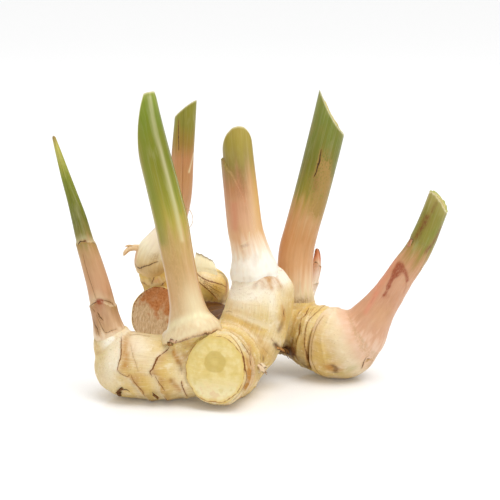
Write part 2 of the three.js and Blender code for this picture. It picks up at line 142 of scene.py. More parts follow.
# Each stem: keys, the rolled sheath's free edge (height, angle where it starts and how far it turns), the knife's
# strokes, and a colour run as (distance along, hex).
STEMS = {
    "shoot_left_spear": dict(
        keys=[[-61.6, -26, 29.9, 7.2], [-62.4, -26, 33.6, 6.3], [-63.5, -26, 38.6, 5.6], [-65.8, -25.2, 49.7, 4.9],
              [-68.3, -24.4, 58.9, 4.4], [-71.3, -23.4, 69.0, 3.7], [-73.9, -22.4, 79.7, 3.15],
              [-76.3, -21.4, 88, 2.5], [-79.6, -20, 98.5, 1.8], [-84.4, -18, 115, 0.5]],
        wrap=0.3, wrap_at=-0.3, wrap_turn=0.4, seed=21, dome=1.2,
        edges=[(1.0, [(-70, 12.6), (-55, 13.4), (-2, 14.7), (39, 11.5), (120, 10.5), (180, 11.5)]),
               (1.0, [(-55, 40.8), (-8, 41.8), (14, 40.9), (90, 39), (180, 40)])],
        run=[(0, "#E8CDAA"), (3, "#D3AC84"), (9, "#BE936C"), (14, "#C0906A"), (20, "#CC9C74"), (32, "#C79A70"),
             (39, "#BA9464"), (44, "#8A7E3E"), (52, "#6C6E1E"), (68, "#7E862A"), (76, "#A3A340"), (84, "#BEB656"),
             (87.4, "#9A7B33"), (88.7, "#4A3420")]),
    "shoot_front_green": dict(
        keys=[[-24.4, -31, 23, 13.2], [-24.9, -31, 29, 12.8], [-25.3, -31.2, 33, 11.5], [-26.4, -31, 37.7, 8.9],
              [-27.4, -30.6, 43.2, 7.3], [-28.6, -30, 49.7, 6.65], [-30.2, -29, 58.4, 6.45], [-31.8, -28, 67, 6.6],
              [-34, -26, 79.8, 6.85], [-37.3, -24, 93.4, 6.7], [-40.9, -22, 107.8, 6.5], [-43.9, -20.4, 121.3, 6.2],
              [-47.1, -18.6, 137, 5.9]],
        wrap=SHEATH_STEP, wrap_at=1.6, wrap_turn=0.5, seed=22,
        seat=dict(at=[-25, -31, 27.6], normal=[-0.25, 0.3, 1]), core=(12.5, 0.6),
        cuts=[dict(at=[-42.8, -20.7, 116.9], along=[-0.2, 0.12, 0.97], high=45, slope=3.05),
              dict(at=[-45.6, -19.2, 132.8], along=[-0.2, 0.12, 0.97], high=45, slope=0.1)],
        edges=[], foot_ink=1.1, keels=[(34, 0.3, 0.22)], collars=[(13.5, 10, 160, 0.45, 1.2)],
        run=[(0, "#E3CFA2"), (9, "#E9D6AC"), (16, "#DDC094"), (26, "#D4AA78"), (38, "#CCA46C"), (50, "#C6A664"),
             (58, "#B3A244"), (68, "#949230"), (84, "#7C7E1A"), (104, "#76841C"), (117, "#97A334")]),
    "shoot_back": dict(
        keys=[[-47.6, 43.2, 40.7, 7.7], [-47.4, 42.4, 44, 8.2], [-46, 42, 48.6, 7.9], [-43.2, 42, 53, 6.9],
              [-39.4, 42.4, 58.4, 5.9], [-36.4, 43, 64, 5.4], [-33.4, 45, 76, 5.1], [-32, 48, 97, 5.0],
              [-30.8, 50, 112, 4.75], [-29.5, 51.4, 130, 4.5]],
        wrap=SHEATH_STEP, wrap_at=0.6, wrap_turn=-0.8, seed=23,
        cuts=[dict(at=[-30.4, 50.2, 116.6], along=[0.08, 0.1, 0.99], high=75, slope=0.92)],
        edges=[],
        run=[(0, "#D8B678"), (5, "#E8D09C"), (9.5, "#F5E9C8"), (17, "#F3E2C8"), (26, "#DEB892"), (36, "#D0A078"),
             (46, "#C6925F"),
             (56, "#C38A5A"), (63, "#A08036"), (72, "#8E8830"), (92, "#908F2C")]),
    "shoot_middle": dict(
        keys=[[2.3, -4.2, 50.9, 10.9], [1.9, -4.2, 54, 9.8], [1.1, -4, 59, 8.1], [-0.4, -4, 65.6, 7.2],
              [-1.8, -4, 72.5, 6.9], [-3.5, -4, 88.4, 6.6], [-4.9, -3.4, 101.7, 6.4], [-5.8, -3, 112.8, 6.2],
              [-6.6, -2.6, 126, 6]],
        wrap=SHEATH_STEP, wrap_at=-1.3, wrap_turn=-0.3, seed=24,
        cuts=[dict(at=[-5.2, -3.2, 107.2], along=[-0.08, 0.03, 0.99], high=8, slope=1.6)],
        edges=[], collars=[(53.0, -84, 62, 1.0, 0.35)], sink=0.9,
        run=[(0, "#FFFBEE"), (8, "#FFF6E6"), (13, "#F7DDC0"), (19, "#E6B88C"), (28, "#DDA982"), (40, "#C98F63"),
             (46, "#B28A56"), (52, "#9E8A44"), (60, "#A8963E"), (66, "#B09C44")]),
    "shoot_right_green": dict(
        keys=[[21.5, 16, 32.4, 8.7], [21.1, 16, 37, 8.3], [20.9, 16, 42, 8.1], [21.5, 17, 54.8, 7.85],
              [23.8, 18, 65, 7.6], [28.1, 20, 80.6, 7.7], [32.7, 22, 98.9, 7.7], [36.1, 24, 112.9, 7.6],
              [41, 26.4, 134, 7.4]],
        wrap=SHEATH_STEP, wrap_at=2.6, wrap_turn=0.4, seed=25,
        cuts=[dict(at=[37.4, 24.6, 118.6], along=[0.24, 0.13, 0.96], high=-94, slope=1.08, dip=2.2)],
        edges=[], foot_ink=0.5,
        run=[(0, "#E6D2A4"), (4, "#F0DDB8"), (9, "#ECCBA2"), (16, "#DBAA7A"), (28, "#CC9660"), (38, "#C99A66"),
             (46, "#B4934C"), (51, "#8C862E"), (64, "#747422"), (84, "#788232"), (100, "#8E9442")]),
    "shoot_right_pink": dict(
        keys=[[44.3, 0.4, 17, 12.6], [50, -0.8, 20.6, 12.3], [54.4, -1.5, 27.4, 10.0], [58.7, -1.8, 33.8, 8.3],
              [63.7, -1.6, 41.5, 7.1], [68.6, -1, 49.6, 6.7], [74.2, -0.6, 57.8, 6.1], [78.1, -0.2, 65.6, 5.7],
              [81.9, 0.2, 75.6, 5.3], [85.6, 0.4, 86.6, 5.1]],
        wrap=0.35, wrap_at=2.2, wrap_turn=-0.6, seed=26, ragged=0.5,
        cuts=[dict(at=[84.3, 0.3, 82.3], along=[0.36, 0.02, 0.93], high=-104, slope=0.56, dip=-2.0)],
        edges=[],
        run=[(-4, "#EBD3B8"), (4, "#E9C9AE"), (10, "#E2B898"), (14, "#D6A481"), (26, "#CD9877"), (38, "#D09C78"),
             (46, "#C8966C"),
             (53, "#AE8A50"), (58, "#92883A"), (64, "#86862E"), (71, "#8C8636"), (78, "#A89C52")]),
    "side_bud": dict(
        keys=[[27, 26, 29.6, 2.9], [28.4, 26.8, 34.4, 2.6], [30.2, 27, 40.6, 2.3], [31.2, 26.6, 46.6, 1.8],
              [31.5, 26.4, 51, 1.3], [31.3, 26.2, 54.3, 0.6]],
        wrap=0.3, wrap_at=0.4, wrap_turn=1.2, seed=27, dome=1.0,
        edges=[(0.6, [(0, 8)]), (0.8, [(-60, 17.5), (0, 19.5), (60, 16.5), (180, 16)])],
        run=[(0, "#F8EEE0"), (8, "#FAEFE4"), (15, "#F6E0D0"), (19, "#EFC2A4"), (22, "#DC8E62"), (25.5, "#B06C40")]),
}

# Marks that follow a line, by limb or stem, as (kind, half width, strength, points of (distance along, angle in
# degrees)). A "line" is a crisp crack or scale edge, and the other kinds are soft stains.
MARKS = {
    "front": [
        ("line", 0.32, 1, [(42.6, 72), (41.8, 55), (40.5, 41), (40.1, 30), (41.1, 20), (41.6, 9)]),
        ("line", 0.18, 0.8, [(41.6, 9), (39.9, 4), (37.4, 1), (35.8, -1), (35.2, 4)]),
        ("line", 0.2, 0.85, [(34.7, 3), (33.7, -8), (31.7, -20), (30.2, -29), (29.8, -51)]),
        ("line", 0.1, 0.45, [(36.4, 57), (34.5, 36), (33.0, 22), (31.9, 10)]),
        ("line", 0.34, 1, [(19.1, 54), (20.2, 52), (22.3, 44), (24.5, 35), (25.1, 26), (26.0, 16), (27.0, 10),
                           (26.5, 4)]),
        ("line", 0.2, 0.8, [(25.0, 2), (24.1, -6), (22.8, -16), (22.0, -26)]),
        ("line", 0.18, 0.6, [(38.7, 77), (35.3, 89), (30.8, 88), (29.4, 89)]),
        ("warm", 0.7, 1.0, [(17.9, 45), (16.8, 35), (16.1, 24)]),
        ("brown", 0.4, 0.5, [(16.4, 28), (15.8, 20), (15.8, 10)]),
        ("warm", 0.9, 0.9, [(19.2, -7), (17.9, -17), (16.3, -30)]),
        ("brown", 0.35, 0.4, [(19.3, -3), (18.6, -13)]),
        ("line", 0.24, 0.9, [(15.6, -9), (14.9, -23), (13.8, -52)]),
        ("warm", 1.5, 0.8, [(39.9, 65), (38.6, 46), (37.3, 28), (37.8, 14)]),
        ("warm", 0.6, 0.5, [(12.4, 44), (13.8, 39), (14.8, 30)]),
        ("brown", 0.5, 0.3, [(34.4, -12), (32.5, -33), (32.0, -54)])],
    "stub": [
        ("line", 0.3, 1, [(36.3, 69), (37.6, 54), (38.3, 42), (39.4, 28), (39.6, 16), (39.8, 2), (37.3, -15),
                          (36.9, -32), (37.1, -47), (36.6, -59)]),
        ("line", 0.16, 0.7, [(30.3, 74), (30.7, 60), (31.2, 42), (30.4, 30), (28.1, 13)]),
        ("line", 0.2, 0.8, [(32.8, -5), (31.2, -14), (30.7, -29), (31.0, -39)]),
        ("warm", 1.3, 1, [(36.8, 11), (36.6, -4), (34.1, -19), (35.4, -30)]),
        ("brown", 0.7, 0.7, [(31.9, -9), (31.4, -22)])],
    "centre": [
        ("line", 0.14, 0.7, [(18.3, -71), (19.4, -62), (19.4, -53)]),
        ("yellow", 1.0, 0.9, [(16.4, -66), (16.7, -42), (16.2, -26), (15.7, -13), (15.7, 1), (16.2, 15)]),
        ("dry", 0.5, 0.6, [(16.6, -22), (15.7, -8), (16.0, 8)]),
        ("warm", 1.2, 0.75, [(37.4, -5), (39.5, 4), (38.6, 9), (36.3, 10)]),
        ("warm", 1.2, 0.6, [(39.9, 26), (37.3, 26), (34.4, 24)]),
        ("warm", 1.8, 0.7, [(40.4, 31), (39.1, 37), (37.4, 43), (34.5, 48)]),
        ("brown", 0.35, 0.6, [(38.4, -3), (37.6, 1)]),
        ("brown", 0.4, 0.8, [(40.4, 27), (40.7, 33), (39.4, 40)]),
        ("yellow", 0.9, 0.6, [(18.7, -72), (16.3, -46), (14.7, -26), (14.0, -11), (12.4, 8), (11.2, 25)]),
        ("dry", 0.6, 0.5, [(14.7, -26), (14.0, -11), (12.4, 8)]),
        # painted highlight: this pale line runs along the ridge of the centre limb's flat side
        ("pale", 1.2, 0.25, [(36.0, 27), (33.9, 24), (28.5, 19), (22.8, 21), (20.7, 35)]),
        ("yellow", 2.6, 0.55, [(36.5, 44), (31.0, 40), (26.0, 36), (22.0, 42)]),
        ("olive", 1.2, 0.6, [(35.6, 50), (32.4, 50)]),
        ("line", 0.3, 1, [(26.0, 50), (24.5, 50), (23.3, 59)]),
        ("warm", 1.4, 0.9, [(25.9, 45), (24.1, 49), (22.4, 60)]),
        ("brown", 1.1, 0.55, [(18.6, 42), (19.8, 46), (20.4, 51)]),
        ("dry", 2.4, 0.6, [(21.1, 37), (19.8, 46), (21.7, 50)]),
        ("warm", 2.2, 0.4, [(11.4, 15), (9.7, 23), (7.9, 29)]),
        ("brown", 0.5, 0.9, [(8.1, 12), (6.8, 21), (6.3, 31)]),
        ("brown", 0.7, 0.8, [(12.8, 41), (12.1, 55), (12.7, 123), (13.4, 117)]),
        ("line", 0.12, 0.6, [(14.3, 29), (13.4, 36)]),
        ("yellow", 2.0, 0.35, [(24.8, -38), (25.9, -20), (25.1, -3)])],
    "right": [
        ("line", 0.3, 1, [(33.2, -72), (34.6, -55), (34.3, -46)]),
        ("line", 0.28, 1, [(33.4, -43), (34.8, -30), (36.9, -17), (36.1, -5), (35.9, 9), (36.8, 20)]),
        ("brown", 0.8, 1.2, [(34.8, -28), (36.7, -18)]),
        ("line", 0.2, 0.85, [(37.9, -103), (39.8, -72), (39.5, -58), (38.9, -46), (39.1, -34), (40.0, -20),
                             (40.8, -5), (41.7, 11), (42.1, 32), (42.1, 57)]),
        ("line", 0.14, 0.6, [(36.0, -77), (37.2, -54)]),
        ("line", 0.2, 0.8, [(32.4, -2), (32.9, 11), (34.2, 25), (37.1, 33)]),
        ("brown", 2.0, 0.7, [(33.2, 10), (35.1, 26), (39.1, 35), (42.1, 51)]),
        ("dry", 2.0, 0.6, [(41.1, -9), (42.1, 22)])],
    "bulb": [
        ("line", 0.14, 0.5, [(1.5, -86), (4.9, -95), (13.8, -103)]),
        ("warm", 1.5, 1, [(6.3, 27), (7.1, 23), (7.8, 28)]),
        ("brown", 0.5, 1.1, [(7.4, 21), (8.3, 25), (7.8, 35)]),
        ("line", 0.26, 1, [(15.1, 44), (16.8, 31), (18.2, 25), (20.3, 30)]),
        ("olive", 1.6, 0.6, [(10.0, 34), (12.5, 31)]),
        ("yellow", 2.0, 0.6, [(5.2, -4), (6.1, 13)]),
        ("line", 0.16, 0.7, [(1.5, -60), (0.8, -40), (0.6, -10), (1.2, 20), (2.6, 45), (4.4, 60)])],
    "shoot_right_pink": [
        ("scar", 1.7, 1.3, [(43.8, -39), (42.0, -34), (40.9, -35)]),
        ("scar", 0.9, 1.0, [(40.6, -32), (38.4, -34), (35.7, -33), (33.9, -30)]),
        ("scar", 0.5, 0.8, [(33.9, -30), (31.6, -25), (29.5, -25)]),
        ("scar", 1.2, 0.35, [(28.6, -23), (30.2, -11)]),
        ("scar", 0.8, 0.8, [(43.8, -25), (43.4, -5), (41.7, 12), (40.7, 21)]),
        ("scar", 0.5, 0.45, [(40.1, 21), (37.0, 36), (34.6, 38)]),
        ("pink", 2.5, 0.9, [(43.2, -80), (37.0, -72), (30.3, -69)]),
        ("pink", 1.0, 0.9, [(27.7, -51), (23.3, -44), (19.1, -37)]),
        ("scar", 0.45, 0.4, [(26.1, -49), (23.3, -44)]),
        ("scar", 0.4, 0.3, [(26.7, 3), (23.6, 15)]),
        ("brown", 1.2, 1.1, [(70.1, -37), (66.7, -37), (63.0, -42), (59.8, -43)]),
        ("brown", 0.8, 0.6, [(77.5, -20), (73.4, -24)]),
        ("brown", 0.9, 1.0, [(67.7, 60), (62.5, 51), (58.7, 37), (55.5, 25)])],
    "shoot_right_green": [
        ("line", 0.36, 1, [(71.1, -11), (68.4, -9), (66.4, -7), (63.4, -9), (61.1, -9), (58.7, -12)]),
        ("dry", 2.4, 0.6, [(69.3, 12), (64.9, 14), (60.3, 20), (56.0, 26), (51.4, 28), (44.0, 32)]),
        ("dry", 1.8, 0.45, [(65.4, 30), (56.6, 43), (47.3, 51), (39.1, 57)]),
        ("dry", 1.4, 0.5, [(65.6, 3), (63.7, 8), (62.4, 32)]),
        ("dry", 3.2, 0.8, [(57.1, 12), (51.1, 21), (45.2, 26)]),
        ("dry", 2.4, 0.7, [(57.9, 40), (51.9, 46), (45.7, 43)]),
        ("brown", 1.1, 0.4, [(58.4, -5), (53.9, 2)])],
    "shoot_back": [
        ("line", 0.22, 0.9, [(74.6, -38), (69.8, -34), (65.0, -27), (60.3, -21)]),
        ("pale", 0.4, 0.7, [(59.5, 76), (56.1, 61), (52.1, 47), (50.3, 41)]),
        ("line", 0.2, 0.9, [(2.5, -67), (2.2, -51), (2.3, -38), (3.3, -20), (4.1, -5), (5.0, 3), (6.2, 17),
                            (6.6, 23)]),
        ("pink", 1.0, 0.7, [(6.4, -73), (3.7, -66)]),
        ("dry", 1.5, 0.4, [(7.9, -2), (8.8, 14)])],
    "shoot_left_spear": [
        ("line", 0.28, 1, [(40.8, -44), (41.8, -25), (41.9, -8), (41.6, 16)]),
        ("brown", 0.6, 1, [(41.8, 8), (41.4, 16)]),
        ("line", 0.14, 0.6, [(36.2, -25), (31.8, -30), (26.0, -29), (20.5, -24), (16.4, -18)]),
        ("line", 0.2, 0.8, [(13.3, -60), (14.4, -36), (14.9, -17), (15.1, -1)]),
        ("scar", 0.8, 1.3, [(15.3, -6), (14.9, 3)]),
        ("line", 0.14, 0.7, [(15.1, -1), (15.1, 18), (14.2, 35), (12.9, 54), (11.8, 63)]),
        ("brown", 0.7, 0.7, [(14.4, 31), (13.4, 43)]),
        ("brown", 0.5, 0.8, [(12.4, 58), (11.7, 62)]),
        ("scar", 2.2, 0.4, [(13.3, -16), (13.4, -1)]),
        ("line", 0.16, 0.8, [(12.5, -58), (11.8, -43), (10.7, -36)]),
        ("line", 0.22, 0.9, [(10.4, -24), (8.6, -15), (7.1, -5)]),
        ("line", 0.14, 0.7, [(9.2, -32), (7.2, -25), (4.8, -18), (1.7, -8), (1.3, 2), (1.8, 17), (1.7, 39)]),
        ("line", 0.26, 0.9, [(7.6, -60), (5.6, -53), (3.5, -39), (0.7, -34)]),
        ("brown", 1.1, 0.5, [(5.8, -53), (2.1, -39)])],
    "shoot_middle": [
        ("pale", 0.15, 0.6, [(20.4, 9), (16.8, 4)]),
        ("pale", 0.15, 0.5, [(15.6, -24), (16.5, -8), (16.8, 1)]),
        ("pale", 0.15, 0.5, [(13.3, -24), (13.7, -6)]),
        ("brown", 0.6, 0.35, [(14.8, -22), (15.0, -7)]),
        ("brown", 1.8, 0.35, [(47.0, 1), (42.7, 1), (38.4, 0)]),
        ("pink", 1.3, 0.7, [(33.0, -31), (27.2, -32), (22.6, -36)])],
    "barrel": [
        ("line", 0.2, 0.9, [(31.0, -90), (31.6, -35), (31.6, 11), (31.0, 44), (29.6, 63)]),
        ("line", 0.2, 1, [(30.0, -60), (29.9, -40), (29.5, -18), (28.1, 5), (25.8, 23), (24.4, 32)]),
        ("line", 0.14, 0.7, [(30.8, -24), (30.0, 5), (28.8, 25), (27.2, 42)]),
        ("warm", 1.2, 1.1, [(30.4, 70), (28.4, 66), (26.0, 62)]),
        ("brown", 0.7, 0.8, [(32.3, 120), (31.6, 84), (30.2, 78)]),
        ("olive", 1.6, 0.4, [(27.4, -8), (26.4, 14)])],
    "neck": [
        ("line", 0.22, 0.9, [(27.8, -4), (25.8, -20), (23.7, -31)]),
        ("brown", 0.6, 0.5, [(27.2, -30), (24.3, -29)]),
        ("pink", 0.8, 0.7, [(24.9, -12), (25.2, 10)])],
    "shoot_front_green": [
        # partly painted highlight: the pale band along the fold at the stem's foot, over the pale sheath there
        ("pale", 1.3, 0.7, [(12.5, -75), (15.0, -38), (16.2, 0), (16.6, 40), (14.0, 80)]),
        # painted highlight: this pale streak along the keel stands for the cuticle's long highlight
        ("pale", 0.8, 0.4, [(111, 37), (103, 31), (95, 29), (88, 33), (72, 33), (57, 30), (49, 34)]),
        ("olive", 2.2, 0.7, [(109, 4), (103, -11), (94, -29), (88, -34), (77, -39), (64, -41), (50, -43)]),
        ("olive", 1.2, 0.5, [(110, 47), (101, 55), (92, 57), (83, 56), (74, 55), (61, 50)])],
}

# Round patches of colour and small bumps, by limb or stem, as (distance along, angle in degrees, reach along, reach
# round, kind, strength). Reaches are in millimetres.
PATCHES = {
    "front": [
        # The front limb's pale patches are partly fresh skin and partly painted pearly highlights.
        (46, 25, 5.5, 14, "pale", 0.7), (31, 48, 6, 8, "pale", 0.5), (36, 70, 5, 8, "pale", 0.4),
        (21, 12, 4.0, 6, "yellow", 0.3), (30, -14, 5, 7, "yellow", 0.6), (52, -20, 8, 12, "dry", 0.22),
        (12.5, 40, 2.4, 5, "warm", 0.5), (29, 22, 4, 7, "yellow", 0.8), (15, -15, 4, 10, "pale", 0.3),
        (25, 8, 4, 9, "yellow", 0.6), (25, 8, 4, 9, "dry", 0.18), (32, 12, 4, 8, "dry", 0.4),
        (19.7, -44, 5, 7, "dry", 0.25), (36, 48, 3, 6, "warm", 0.25), (30, 5, 14, 22, "dry", 0.2),
        # painted shade: these dry and olive patches low on the limb's underside darken it, over its duller skin
        (30, -60, 14, 8, "dry", 0.3), (26, -50, 10, 6, "olive", 0.4)],
    # The elbow's two pale patches are a painted highlight band.
    "elbow": [(15, 25, 5, 4, "pale", 0.8), (15, -2, 4.0, 5, "pale", 1.0), (12, -55, 6, 6, "dry", 0.5)],
    "stub": [
        (34, 0, 4.0, 5, "warm", 0.6), (36, -22, 3.0, 4, "warm", 0.5), (28, 10, 8, 16, "dry", 0.4),
        (29, -24, 3.0, 8, "pink", 0.25)],
    "centre": [
        # The strong pale patches near the centre's top (along 38 to 42, all round and on the right shoulder) are
        # painted highlight where light from above whitens it, over fresher skin.
        (34, -20, 8, 18, "pale", 0.6), (41.5, 0, 5.0, 80, "pale", 1.4), (38.5, 78, 5, 8, "pale", 1.0),
        (38, -42, 6, 10, "pale", 1.2), (28, 20, 5, 7, "pale", 0.25), (29, -45, 5, 9, "pale", 0.5),
        (23, -34, 3, 9, "pale", 0.4), (14, 38, 3, 6, "pale", 0.35), (10.9, 21, 2.2, 3, "warm", 0.35),
        (18.5, -20, 1.6, 18, "pale", 0.45), (11, -12, 3, 12, "pale", 0.35), (14, -40, 4, 9, "dry", 0.25),
        (30, 70, 9, 7, "yellow", 0.6), (27, 66, 9, 6, "dry", 0.4), (34, 55, 3.4, 4.5, "olive", 0.3),
        (10.4, 22, 2.6, 2.6, "bump", 0.7), (10, 55, 4, 7, "dry", 0.25), (27, -58, 8, 5, "yellow", 0.4),
        (24.5, 60, 1.3, 1.3, "bump", -0.6), (33, 92, 3.2, 4.5, "bump", 1.4), (39, 74, 2.8, 6, "bump", -1.0),
        (10, 22, 3, 4, "yellow", 1.3)],
    "right": [(30, 0, 4, 30, "dry", 0.35), (34, 40, 8, 12, "olive", 0.35)],
    "bulb": [
        (3, 0, 3, 40, "yellow", 0.35), (9, -30, 4, 10, "yellow", 0.2), (8, 55, 5, 16, "olive", 0.3),
        (7, 8, 6, 12, "dry", 0.3), (7.0, 32, 1.5, 1.6, "bump", 0.9), (17.5, 60, 2.5, 3.5, "dry", 0.6),
        (12, 100, 12, 14, "dry", 0.5)],
    "barrel": [
        # The barrel's three brown patches low on its underside paint the shade beneath it, over brown husk.
        (32.4, -60, 2.6, 9, "pale", 0.4), (27, 0, 8, 22, "yellow", 1.4), (19, 62, 3, 6, "brown", 0.2),
        (13, 50, 5, 9, "brown", 0.7), (8, 40, 6, 14, "brown", 1.4)],
    "neck": [
        (23, -10, 3.5, 9, "dry", 0.2), (25, 0, 4, 16, "yellow", 0.9), (16, 10, 7, 14, "yellow", 1.0),
        (22, 8, 4, 6, "warm", 0.35)],
    "bridge": [
        # The bridge's brown patches paint the shade in the deep hollow between the limbs, over its brown husk.
        (30, 0, 26, 40, "dry", 0.25), (14, 90, 10, 14, "brown", 1.4), (24, 80, 9, 9, "brown", 1.2),
        (29, 0, 8, 13, "brown", 1.4), (20, 10, 8, 12, "brown", 1.0), (40, 0, 5, 10, "brown", 0.25)],
    "shoot_right_pink": [(22, 10, 6, 6, "yellow", 0.15)],
    "shoot_right_green": [
        (54, 26, 9, 5, "dry", 0.7), (1.0, 12, 2.2, 6, "brown", 0.7), (14, -70, 14, 4, "warm", 0.55),
        (30, -60, 14, 4, "warm", 0.35)],
    "shoot_back": [(2, 0, 2.2, 20, "brown", 0.3)],
    "shoot_middle": [(28, 30, 22, 2, "pale", 0.2), (34, 62, 16, 3, "yellow", 0.8)],
    "shoot_front_green": [
        # The pale patch at (22, 35) carries the painted highlight streak down toward the foot.
        (22, 35, 9, 5, "pale", 0.6), (14, -60, 5, 6, "dry", 0.25), (92, -60, 26, 5, "yellow", 0.3),
        (40, -15, 18, 4, "dry", 0.35)],
}

# Hollows between limbs, painted dark brown: brown husk darkened further as painted shade that falls deep in them, as
# (middle, reach in millimetres).
SHADED_HOLLOWS = [((-16, 21, 22), 8), ((-15, 12, 25), 6.5), ((-19, 27, 20), 6.5), ((-13, 3, 27), 5), ((16.5, 1.5, 11), 5)]

# The column that each kind of tint has in a piece's facts.
TINTS = ("pale", "yellow", "dry", "warm", "brown", "pink", "olive", "scar", "bump", "stem")
CHANNELS = {kind: column for column, kind in enumerate(TINTS)}

# The stems that stand alone, as (finish, a slot name that nothing uses, reach of the colour streaks in millimetres,
# roughness).
SHEATHS = {
    "shoot_left_spear": ("Young sheath", "young_spear_sheath", 3.0, 0.42),
    "shoot_front_green": ("Green leaf sheath", "green_sheath", 4.0, 0.32),
    "shoot_back": ("Shaded leaf sheath", "back_sheath", 1.4, 0.42),
    "shoot_middle": ("Blushed leaf sheath", "blush_sheath", 3.5, 0.4),
    "shoot_right_green": ("Tan and green leaf sheath", "green_tan_sheath", 4.0, 0.4),
    "side_bud": ("Bud scales", "bud_scale", 2.0, 0.45),
}

# Papery scales as (corners, bow, the way they face, tints), in design millimetres.
SCALES = [
    ([(-28.0, 31.5, 39.6), (-15.2, 30.5, 40.2), (-17.0, 35.0, 45.9), (-24.9, 36.0, 53.2)], 0.9, FRONT, {"pale": 1.0}),
    ([(-58.8, -37.2, 5.0), (-54.6, -39.2, 7.6), (-55.2, -39.8, 9.0), (-56.2, -39.4, 8.6)],
     0.3, FRONT, {"brown": 0.9}),
    ([(-58.2, -37.4, 5.6), (-55.6, -38.6, 6.4), (-55.6, -38.2, 3.8), (-56.6, -37.6, 3.6)],
     0.3, FRONT, {"brown": 1.0}),
    ([(0.2, -35.5, 24.0), (2.1, -35.0, 15.0), (0.4, -42.3, 15.8), (-0.6, -42.2, 22.6)],
     0.5, RIGHT, {"pale": 0.55, "warm": 0.45}),
    ([(2.0, -34.4, 13.0), (0.0, -32.6, 6.4), (-2.0, -40.6, 8.4), (-0.3, -41.0, 13.0)],
     0.4, RIGHT, {"pale": 0.7, "warm": 0.25}),
    ([(-42.4, -40.6, 7.0), (-39.4, -40.8, 4.6), (-39.6, -41.8, 3.8), (-42.0, -41.6, 5.2)],
     0.3, FRONT, {"brown": 0.9}),
    ([(-34.9, -38.3, 28.6), (-31.4, -41.2, 29.0), (-31.0, -42.2, 31.0), (-34.0, -40.6, 31.4)],
     0.6, FRONT, {"pink": 0.6, "pale": 0.3}),
    ([(-35.2, -38.8, 27.2), (-33.0, -40.6, 27.8), (-33.4, -41.2, 29.8), (-35.6, -39.6, 29.6)],
     0.3, FRONT, {"brown": 0.5}),
    ([(2.4, -32.6, 17.0), (4.4, -28.4, 15.6), (8.0, -29.2, 11.4), (5.8, -32.4, 11.6)],
     0.5, FRONT, {"pink": 0.3, "pale": 0.65}),
    ([(3.6, -29.8, 17.0), (5.4, -26.2, 15.4), (7.6, -27.6, 13.4), (6.2, -30.0, 13.6)],
     0.3, FRONT, {"pink": 0.2, "pale": 0.7}),
    ([(51.4, -11.4, 10.2), (54.2, -8.6, 10.0), (55.2, -9.0, 12.6), (52.8, -11.8, 12.8)],
     0.3, FRONT, {"pale": 0.3, "warm": 0.3}),
    ([(70.2, -2.6, 62.0), (71.6, -4.2, 62.6), (73.2, -4.4, 66.4), (71.6, -3.0, 66.6)], 0.3, FRONT, {"pink": 0.6}),
    ([(11.0, -19.8, 21.0), (14.6, -15.8, 18.6), (15.6, -17.6, 17.2), (12.4, -21.2, 19.6)],
     0.3, RIGHT, {"brown": 0.3, "warm": 0.3}),
    ([(14.8, 1.6, 13.6), (17.4, -0.6, 13.0), (18.0, -0.2, 10.8), (15.6, 1.8, 10.6)], 0.3, RIGHT, {"brown": 0.5}),
]

# Root hairs and fibres as (points and radius, tints).
STRANDS = [
    ([[-45.6, 42, 47.4, 2.7], [-50.2, 41.8, 49.0, 2.1], [-54.0, 41.4, 50.6, 1.7], [-57.4, 40.6, 50.6, 1.35],
      [-59.6, 39.8, 48.9, 1.0], [-60.6, 39.4, 47.2, 0.7]], {"pale": 0.75, "warm": 0.35}),
    ([[-54.6, 41.2, 50.4, 0.9], [-57.2, 40.6, 52.0, 0.6], [-59.8, 40.2, 51.8, 0.35]], {"pale": 0.5, "warm": 0.4}),
    ([[-31.6, 41.4, 69.5, 0.22], [-29.2, 40.0, 70.0, 0.18], [-27.6, 39.6, 67.6, 0.15], [-27.2, 39.8, 64.3, 0.14],
      [-28.4, 40.2, 61.6, 0.14], [-30.4, 40.8, 59.6, 0.12]], {"pale": 0.3}),
    ([[4.2, -29.0, 15.0, 0.3], [6.4, -29.6, 12.4, 0.2], [7.4, -29.4, 10.8, 0.1]], {"pink": 0.3, "brown": 0.2}),
    ([[15.6, 1.0, 12.4, 0.28], [16.8, -0.6, 10.4, 0.2], [17.8, -1.4, 9.0, 0.1]], {"brown": 0.6}),
    ([[-55.2, -38.4, 7.2, 0.25], [-53.2, -39.8, 7.6, 0.16], [-51.8, -40.6, 7.0, 0.08]], {"brown": 0.9}),
]


def linear(colour):
    """An sRGB hex colour as linear red, green, blue and alpha."""
    parts = [int(colour[i:i + 2], 16) / 255 for i in (1, 3, 5)]
    return (*(c / 12.92 if c <= 0.04045 else ((c + 0.055) / 1.055) ** 2.4 for c in parts), 1.0)


def ease(value, low, high):
    """0 below low, 1 above high and 3t^2 - 2t^3 between them."""
    t = np.clip((value - low) / (high - low), 0, 1)
    return t * t * (3 - 2 * t)


def noise(points, size, seed):
    """Value noise from -1 to 1: a hashed number at each corner of a lattice of that size, eased between corners."""
    q = np.asarray(points, float) / size
    cell = np.floor(q).astype(np.int64)
    f = q - cell
    f = f * f * (3 - 2 * f)
    total = np.zeros(q.shape[:-1])
    for corner in itertools.product((0, 1), repeat=3):
        c = cell + np.array(corner)
        h = (c[..., 0] * HASHES[0]) ^ (c[..., 1] * HASHES[1]) ^ (c[..., 2] * HASHES[2]) ^ (seed * HASHES[3])
        h = ((h & 0xFFFFFFFF) ^ ((h & 0xFFFFFFFF) >> 15)) * STIRS[0] & 0xFFFFFFFF
        h = (h ^ (h >> 13)) * STIRS[1] & 0xFFFFFFFF
        value = ((h ^ (h >> 16)) & 0xFFFFFF) / 0x7FFFFF - 1
        total += value * np.prod(np.where(corner, f, 1 - f), axis=-1)
    return total


